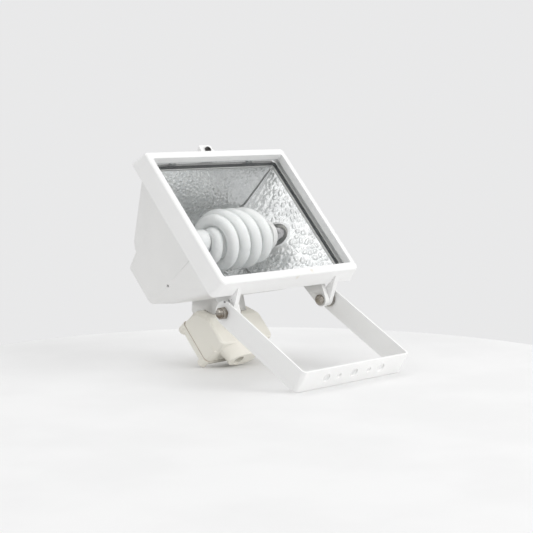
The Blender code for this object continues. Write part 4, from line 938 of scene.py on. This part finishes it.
def grid_mesh(name, rows, lifts, keep=None, merge=1e-6):
    bm = bmesh.new()
    lift = bm.verts.layers.float.new("lift")
    made = []
    for row, row_lifts in zip(rows, lifts):
        line = [bm.verts.new(point) for point in row]
        for vert, value in zip(line, row_lifts):
            vert[lift] = value
        made.append(line)
    for i in range(len(made) - 1):
        for j in range(len(made[0]) - 1):
            if keep is None or keep(i, j):
                bm.faces.new((made[i][j], made[i + 1][j], made[i + 1][j + 1], made[i][j + 1]))
    loose = [vert for vert in bm.verts if not vert.link_faces]
    bmesh.ops.delete(bm, geom=loose, context="VERTS")
    bmesh.ops.remove_doubles(bm, verts=bm.verts, dist=merge)
    return mesh_from(bm, name)


def facing(mesh, point):
    """Turns the sheet's faces towards a point."""
    bm = bmesh.new()
    bm.from_mesh(mesh)
    bmesh.ops.recalc_face_normals(bm, faces=bm.faces)
    total = sum(face.normal.dot(point - face.calc_center_median()) * face.calc_area()
                for face in bm.faces)
    if total < 0:
        bmesh.ops.reverse_faces(bm, faces=bm.faces)
    bm.to_mesh(mesh)
    bm.free()
    return mesh


def thickened(mesh, thickness):
    """Adds the sheet's back and closes its edges."""
    bm = bmesh.new()
    bm.from_mesh(mesh)
    bm.normal_update()
    front = list(bm.verts)
    back = {vert: bm.verts.new(vert.co - vert.normal * thickness) for vert in front}
    rims = [edge for edge in bm.edges if len(edge.link_faces) == 1]
    for face in list(bm.faces):
        bm.faces.new([back[vert] for vert in reversed(face.verts)])
    for edge in rims:
        loop = edge.link_loops[0]
        start, end = loop.vert, loop.link_loop_next.vert
        bm.faces.new((end, start, back[start], back[end]))
    bm.to_mesh(mesh)
    bm.free()
    return mesh


lamp_middle = to_world(0.0, LAMP_DEPTH, LAMP_HEIGHT)
print("sheets face the lamp at", tuple(round(v, 4) for v in lamp_middle))

# %% [markdown]
# ## The trough
#
# The trough is one sheet, straight along its lips and curved like half an ellipse behind the
# lamp. Its grid follows that section, so every cell is just under a millimetre. Trough and cheeks
# stop a millimetre short of each other, which is the dark seam between them.

# %% Reflector trough
REFLECTOR_FRONT = 0.0159
REFLECTOR_BACK = 0.0783
REFLECTOR_WAIST = 0.0500
WAIST_HEIGHT = 0.0470
LIP_HEIGHT = 0.0630
CHEEK_FRONT = 0.0820
CHEEK_BACK = 0.0426
SHEET = 0.0010
SEAM = 0.0011
CELL = 0.00090
SECTION_STEPS = 64
LIP_FADE = 0.003
END_FADE = 0.0025
TROUGH_RELIEF = {"Depth": 0.00042, "Cells per metre": 270.0, "Stretch": (0.8, 1.0, 1.0),
                 "Finish": hammered}


def cheek_half(depth):
    part = (depth - REFLECTOR_FRONT) / (REFLECTOR_BACK - REFLECTOR_FRONT)
    return CHEEK_FRONT + (CHEEK_BACK - CHEEK_FRONT) * part


def trough_section(offset=0.0):
    """Half a section as closely spaced (depth, height) points, lip to the middle of the back."""
    points = [(REFLECTOR_FRONT, LIP_HEIGHT + offset)]
    reach = REFLECTOR_BACK - REFLECTOR_WAIST + offset
    for step in range(SECTION_STEPS + 1):
        turn = math.pi / 2 * step / SECTION_STEPS
        points.append((REFLECTOR_WAIST + reach * math.sin(turn),
                       (WAIST_HEIGHT + offset) * math.cos(turn)))
    return points


half_section = evenly(trough_section(), CELL)
section = half_section + [(depth, -height) for depth, height in reversed(half_section[:-1])]
across = round(2 * CHEEK_FRONT / CELL)
trough_rows = []
trough_lifts = []
for index, (depth, height) in enumerate(section):
    half = cheek_half(depth) - SHEET - SEAM
    xs = [half * (2 * j / across - 1) for j in range(across + 1)]
    trough_rows.append([to_world(x, depth, height) for x in xs])
    lip = min(index, len(section) - 1 - index) * CELL
    trough_lifts.append([fade(lip, LIP_FADE) * fade(half - abs(x), END_FADE) for x in xs])
trough_start = facing(grid_mesh("trough_grid", trough_rows, trough_lifts), lamp_middle)
trough_mesh = grown_mesh("trough", trough_start, relief_tree, relief_keys, TROUGH_RELIEF)
finished("reflector_trough_sheet", thickened(trough_mesh, SHEET), ["reflector_trough"], 60.0)
print("trough:", len(trough_mesh.polygons), "faces")

# %% [markdown]
# ## The cheeks
#
# Two flat end plates close the trough at a slant. Each has a round hole for the lamp's end with a
# U-shaped tail towards the back, so that the lamp can be slid in. The press turns the hole's edge
# up into a small collar. The grid's nearest points are moved onto the hole's outline, which gives
# a clean edge without cutting, and the pebbles fade out round it, as they do on the real plate.

# %% Reflector cheeks
CHEEK_HOLE = 0.0105
SLOT_HALF = 0.0060
SLOT_LENGTH = 0.0200
COLLAR_HEIGHT = 0.0007
COLLAR_WIDTH = 0.0016
COLLAR_TOP = 0.0003
CHEEK_SET_IN = 0.0004
CHEEK_RIM_FADE = 0.002
HOLE_FADE = 0.004
FLATTEST = 0.12
BACK_HALF = 0.004              # the cheek's straight back edge, from its middle
SNAP = CELL * 0.62
CHEEK_RELIEF = {"Depth": 0.00045, "Cells per metre": 200.0, "Stretch": (1.0, 1.0, 0.9),
                "Finish": hammered}


def hole_distance(depth, height):
    """Distance to the edge of the hole and its tail, negative inside."""
    across_hole = math.hypot(depth - LAMP_DEPTH, height - LAMP_HEIGHT) - CHEEK_HOLE
    along = max(depth - (LAMP_DEPTH + SLOT_LENGTH), LAMP_DEPTH - depth)
    aside = abs(height - LAMP_HEIGHT) - SLOT_HALF
    outside = math.hypot(max(along, 0.0), max(aside, 0.0))
    tail = outside + min(max(along, aside), 0.0)
    return min(across_hole, tail)


def snapped(depth, height):
    """A point close to the hole's edge moves onto it."""
    step = 1e-6
    for attempt in range(3):
        gap = hole_distance(depth, height)
        if abs(gap) > SNAP:
            break
        slope_d = (hole_distance(depth + step, height) - gap) / step
        slope_h = (hole_distance(depth, height + step) - gap) / step
        size = max(slope_d ** 2 + slope_h ** 2, 1e-9)
        depth -= gap * slope_d / size
        height -= gap * slope_h / size
    return depth, height


def cheek_mesh(sign):
    outline = [point for point in evenly(trough_section(-SEAM), CELL) if point[1] > BACK_HALF]
    columns = round(2 * LIP_HEIGHT / CELL)
    flat = []
    for depth, height in outline:
        row = [(depth, height * (1 - 2 * j / columns)) for j in range(columns + 1)]
        flat.append([snapped(*point) for point in row])
    rows = []
    lifts = []
    for i, row in enumerate(flat):
        points = []
        values = []
        for j, (depth, height) in enumerate(row):
            gap = hole_distance(depth, height)
            collar = COLLAR_HEIGHT * (1 - fade(gap - COLLAR_TOP, COLLAR_WIDTH))
            x = sign * (cheek_half(depth) - SHEET - CHEEK_SET_IN - collar)
            points.append(to_world(x, depth, height))
            rim = min(i, j, len(flat) - 1 - i, columns - j) * CELL
            away = FLATTEST + (1 - FLATTEST) * fade(gap - COLLAR_WIDTH, HOLE_FADE)
            values.append(fade(rim, CHEEK_RIM_FADE) * away)
        rows.append(points)
        lifts.append(values)

    def keep(i, j):
        around = (flat[i][j], flat[i + 1][j], flat[i + 1][j + 1], flat[i][j + 1])
        middle = [sum(values) / 4 for values in zip(*around)]
        return hole_distance(*middle) > 0.0
    return facing(grid_mesh("cheek_grid", rows, lifts, keep, 0.00004), lamp_middle)


for side, sign in SIDES:
    grown = grown_mesh("cheek_" + side, cheek_mesh(sign), relief_tree, relief_keys, CHEEK_RELIEF)
    finished("reflector_cheek_" + side, thickened(grown, SHEET), ["reflector_end_" + side], 60.0)
    print(side, "cheek:", len(grown.polygons), "faces")

# %% [markdown]
# ## Acorn nuts
#
# A domed nut is a hexagon whose corners are turned down to a cone at both ends, with a dome on
# top. One rule gives the radius at any angle and length: the smallest of the hexagon and the two
# cones. That draws the curved edges between flat and chamfer, which a plain hexagon lacks.

# %% Acorn nuts
NUT_FLATS = 0.0050
NUT_HEX = 0.0045
NUT_LENGTH = 0.0078
NUT_DOME = 0.0045
NUT_SIDES = 72
NUT_RINGS = 14
DOME_PARTS = (0.0, 0.02, 0.12, 0.24, 0.36, 0.48, 0.60, 0.72, 0.84, 0.94)


def nut_radius(along, turn):
    corner = ((turn + math.pi / 6) % (math.pi / 3)) - math.pi / 6
    hexagon = NUT_FLATS / math.cos(corner)
    low_cone = NUT_FLATS * 1.045 + along * 1.7
    high_cone = NUT_FLATS * 0.985 + (NUT_HEX - along) * 1.5
    return min(hexagon, low_cone, high_cone)


def nut_profile():
    """Stations along the nut, each with its ring of radii."""
    turns = [math.tau * k / NUT_SIDES for k in range(NUT_SIDES)]
    stations = [NUT_HEX * k / NUT_RINGS for k in range(NUT_RINGS + 1)]
    rings = [[nut_radius(along, turn) for turn in turns] for along in stations]
    for part in DOME_PARTS:
        stations.append(NUT_HEX + (NUT_LENGTH - NUT_HEX) * math.sin(part * math.pi / 2))
        dome = NUT_DOME * (0.985 if part == 0.0 else math.cos(part * math.pi / 2))
        rings.append([dome] * NUT_SIDES)
    return stations, rings


def acorn_nut(side, sign):
    name = "acorn_nut_" + side
    low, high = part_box(name)
    start = low.x if sign > 0 else high.x
    far = max(frame["nodes"][name].data.vertices,
              key=lambda vert: math.hypot(vert.co.y - HINGE.y, vert.co.z - HINGE.z)).co
    first = math.atan2(far.z - HINGE.z, far.y - HINGE.y) - math.pi / 6
    bm = bmesh.new()
    made = []
    for along, ring in zip(*nut_profile()):
        line = []
        for k, radius in enumerate(ring):
            turn = first + math.tau * k / NUT_SIDES
            line.append(bm.verts.new((start + sign * along, HINGE.y + radius * math.cos(turn),
                                      HINGE.z + radius * math.sin(turn))))
        made.append(line)
    for before, after in zip(made, made[1:]):
        for k in range(NUT_SIDES):
            bm.faces.new((before[k - 1], before[k], after[k], after[k - 1]))
    bm.faces.new(made[0])
    tip = bm.verts.new((start + sign * NUT_LENGTH, HINGE.y, HINGE.z))
    for k in range(NUT_SIDES):
        bm.faces.new((made[-1][k - 1], made[-1][k], tip))
    bmesh.ops.recalc_face_normals(bm, faces=bm.faces)
    return stand_in(name, bm, zinc, smooth=28.0)


for side, sign in SIDES:
    nut = acorn_nut(side, sign)
    print(nut.name, len(nut.data.polygons), "faces")

# %% [markdown]
# ## One screw
#
# All screws are pan heads with a cross recess, in a few sizes. The head is turned from a profile
# given as shares of its length and radius, and two tapered wings cut the recess.

# %% Screw blank
HEAD_PROFILE = ((1.0, 0.50), (0.93, 0.76), (0.72, 0.93), (0.40, 1.0), (0.06, 1.0), (0.0, 0.97))
SCREW_SIDES = 32
RECESS_LONG = 0.98
RECESS_WIDE = 0.24
RECESS_TAPER = 0.62
RECESS_FLOOR = 0.35
RECESS_ABOVE = 1.6


def recess_mesh(head, head_length):
    bm = bmesh.new()
    for lengthwise in (False, True):
        for vert in bmesh.ops.create_cube(bm, size=1.0)["verts"]:
            inside = vert.co.z > 0
            long = head * RECESS_LONG * (RECESS_TAPER if inside else 1.0)
            wide = head * RECESS_WIDE
            across, along = (long, wide) if lengthwise else (wide, long)
            top = -head_length * (RECESS_FLOOR if inside else RECESS_ABOVE)
            vert.co = (vert.co.x * across, vert.co.y * along, top)
    return mesh_from(bm, "recess")


def screw_mesh(head, head_length, shank, length, paint):
    """A screw along +Z, driven upwards, the origin under its head."""
    profile = [(-head_length, 0.0)]
    profile += [(-head_length * along, head * out) for along, out in HEAD_PROFILE]
    profile += [(0.0, shank), (length * 0.93, shank), (length, shank * 0.8), (length, 0.0)]
    bm = bmesh.new()
    verts = [bm.verts.new((radius, 0.0, z)) for z, radius in profile]
    edges = [bm.edges.new(pair) for pair in zip(verts, verts[1:])]
    bmesh.ops.spin(bm, geom=verts + edges, axis=(0, 0, 1), cent=(0, 0, 0), steps=SCREW_SIDES,
                   angle=math.tau)
    bmesh.ops.remove_doubles(bm, verts=bm.verts, dist=1e-7)
    bmesh.ops.recalc_face_normals(bm, faces=bm.faces)
    blank = placed("screw_blank", mesh_from(bm, "screw"))
    cutter = placed("recess", recess_mesh(head, head_length))
    cut = blank.modifiers.new("recess", "BOOLEAN")
    cut.operation = "DIFFERENCE"
    cut.object = cutter
    cut.use_self = True
    graph = bpy.context.evaluated_depsgraph_get()
    done = bpy.data.meshes.new_from_object(blank.evaluated_get(graph))
    for used in (blank, cutter):
        bpy.data.objects.remove(used, do_unlink=True)
    done.materials.clear()
    done.materials.append(paint)
    return done


print("screw profile:", len(HEAD_PROFILE), "points on the head")

# %% [markdown]
# ## Screws on their seats
#
# A node tree sets a copy of the screw on every seat. The seats are the places of the
# construction's own screws, read from their solids, and so is each group's length.

# %% Screws
def screw_tree():
    tree, keys, given = new_tree("set_screws", {"Screw": "NodeSocketObject",
                                                "Turn": "NodeSocketRotation"})
    seats = add_node(tree, "GeometryNodeMeshToPoints", None, {"Mesh": given.outputs[0]})
    shape = add_node(tree, "GeometryNodeObjectInfo", None, {"Object": given.outputs["Screw"]})
    copies = add_node(tree, "GeometryNodeInstanceOnPoints", None,
                      {"Points": seats.outputs[0], "Instance": shape.outputs["Geometry"],
                       "Rotation": given.outputs["Turn"]})
    end_tree(tree, given, copies.outputs[0])
    return tree, keys


def seat_of(node, driven, head_length):
    """The point under the screw's head, from its solid."""
    points = [vert.co.copy() for vert in frame["nodes"][node].data.vertices]
    low = min(point.dot(driven) for point in points)
    middle = sum(points, Vector()) / len(points)
    return middle + driven * (low + head_length - middle.dot(driven))


def screw_length(node, driven, head_length):
    spans = [vert.co.dot(driven) for vert in frame["nodes"][node].data.vertices]
    return max(spans) - min(spans) - head_length


SCREWS = (
    ("lid_screws", ["lid_screw_" + corner for corner in CORNERS],
     (0, -1, 0), 0.0029, 0.0020, 0.0015, zinc),
    ("box_screws", ["box_screw_left", "box_screw_right"],
     (0, 0, 1), 0.0029, 0.0020, 0.0015, zinc),
    ("reflector_screws", ["reflector_screw_left", "reflector_screw_right"],
     (0, 1, 0), 0.0029, 0.0016, 0.0015, zinc),
    ("clip_screws", ["clip_screw_" + corner for corner in CORNERS],
     (0, -1, 0), 0.0013, 0.0010, 0.0006, zinc),
    ("latch_screw", ["closing_screw"],
     (0, 1, 0), 0.0031, 0.0024, 0.0020, black_steel),
)
setter, setter_keys = screw_tree()
for name, members, way, head, head_length, shank, paint in SCREWS:
    driven = face_vector(*way).normalized()
    length = screw_length(members[0], driven, head_length)
    seats = bpy.data.meshes.new(name + "_seats")
    seats.from_pydata([seat_of(node, driven, head_length) for node in members], [], [])
    model = placed("screw_model", screw_mesh(head, head_length, shank, length, paint))
    turn = driven.to_track_quat("Z", "Y").to_euler()
    mesh = grown_mesh(name, seats, setter, setter_keys,
                      {"Screw": model, "Turn": turn, "Finish": paint})
    bpy.data.objects.remove(model, do_unlink=True)
    finished(name, mesh, members, 30.0)
    print(name, len(members), "set, each", round(1000 * (length + head_length), 1), "mm long")
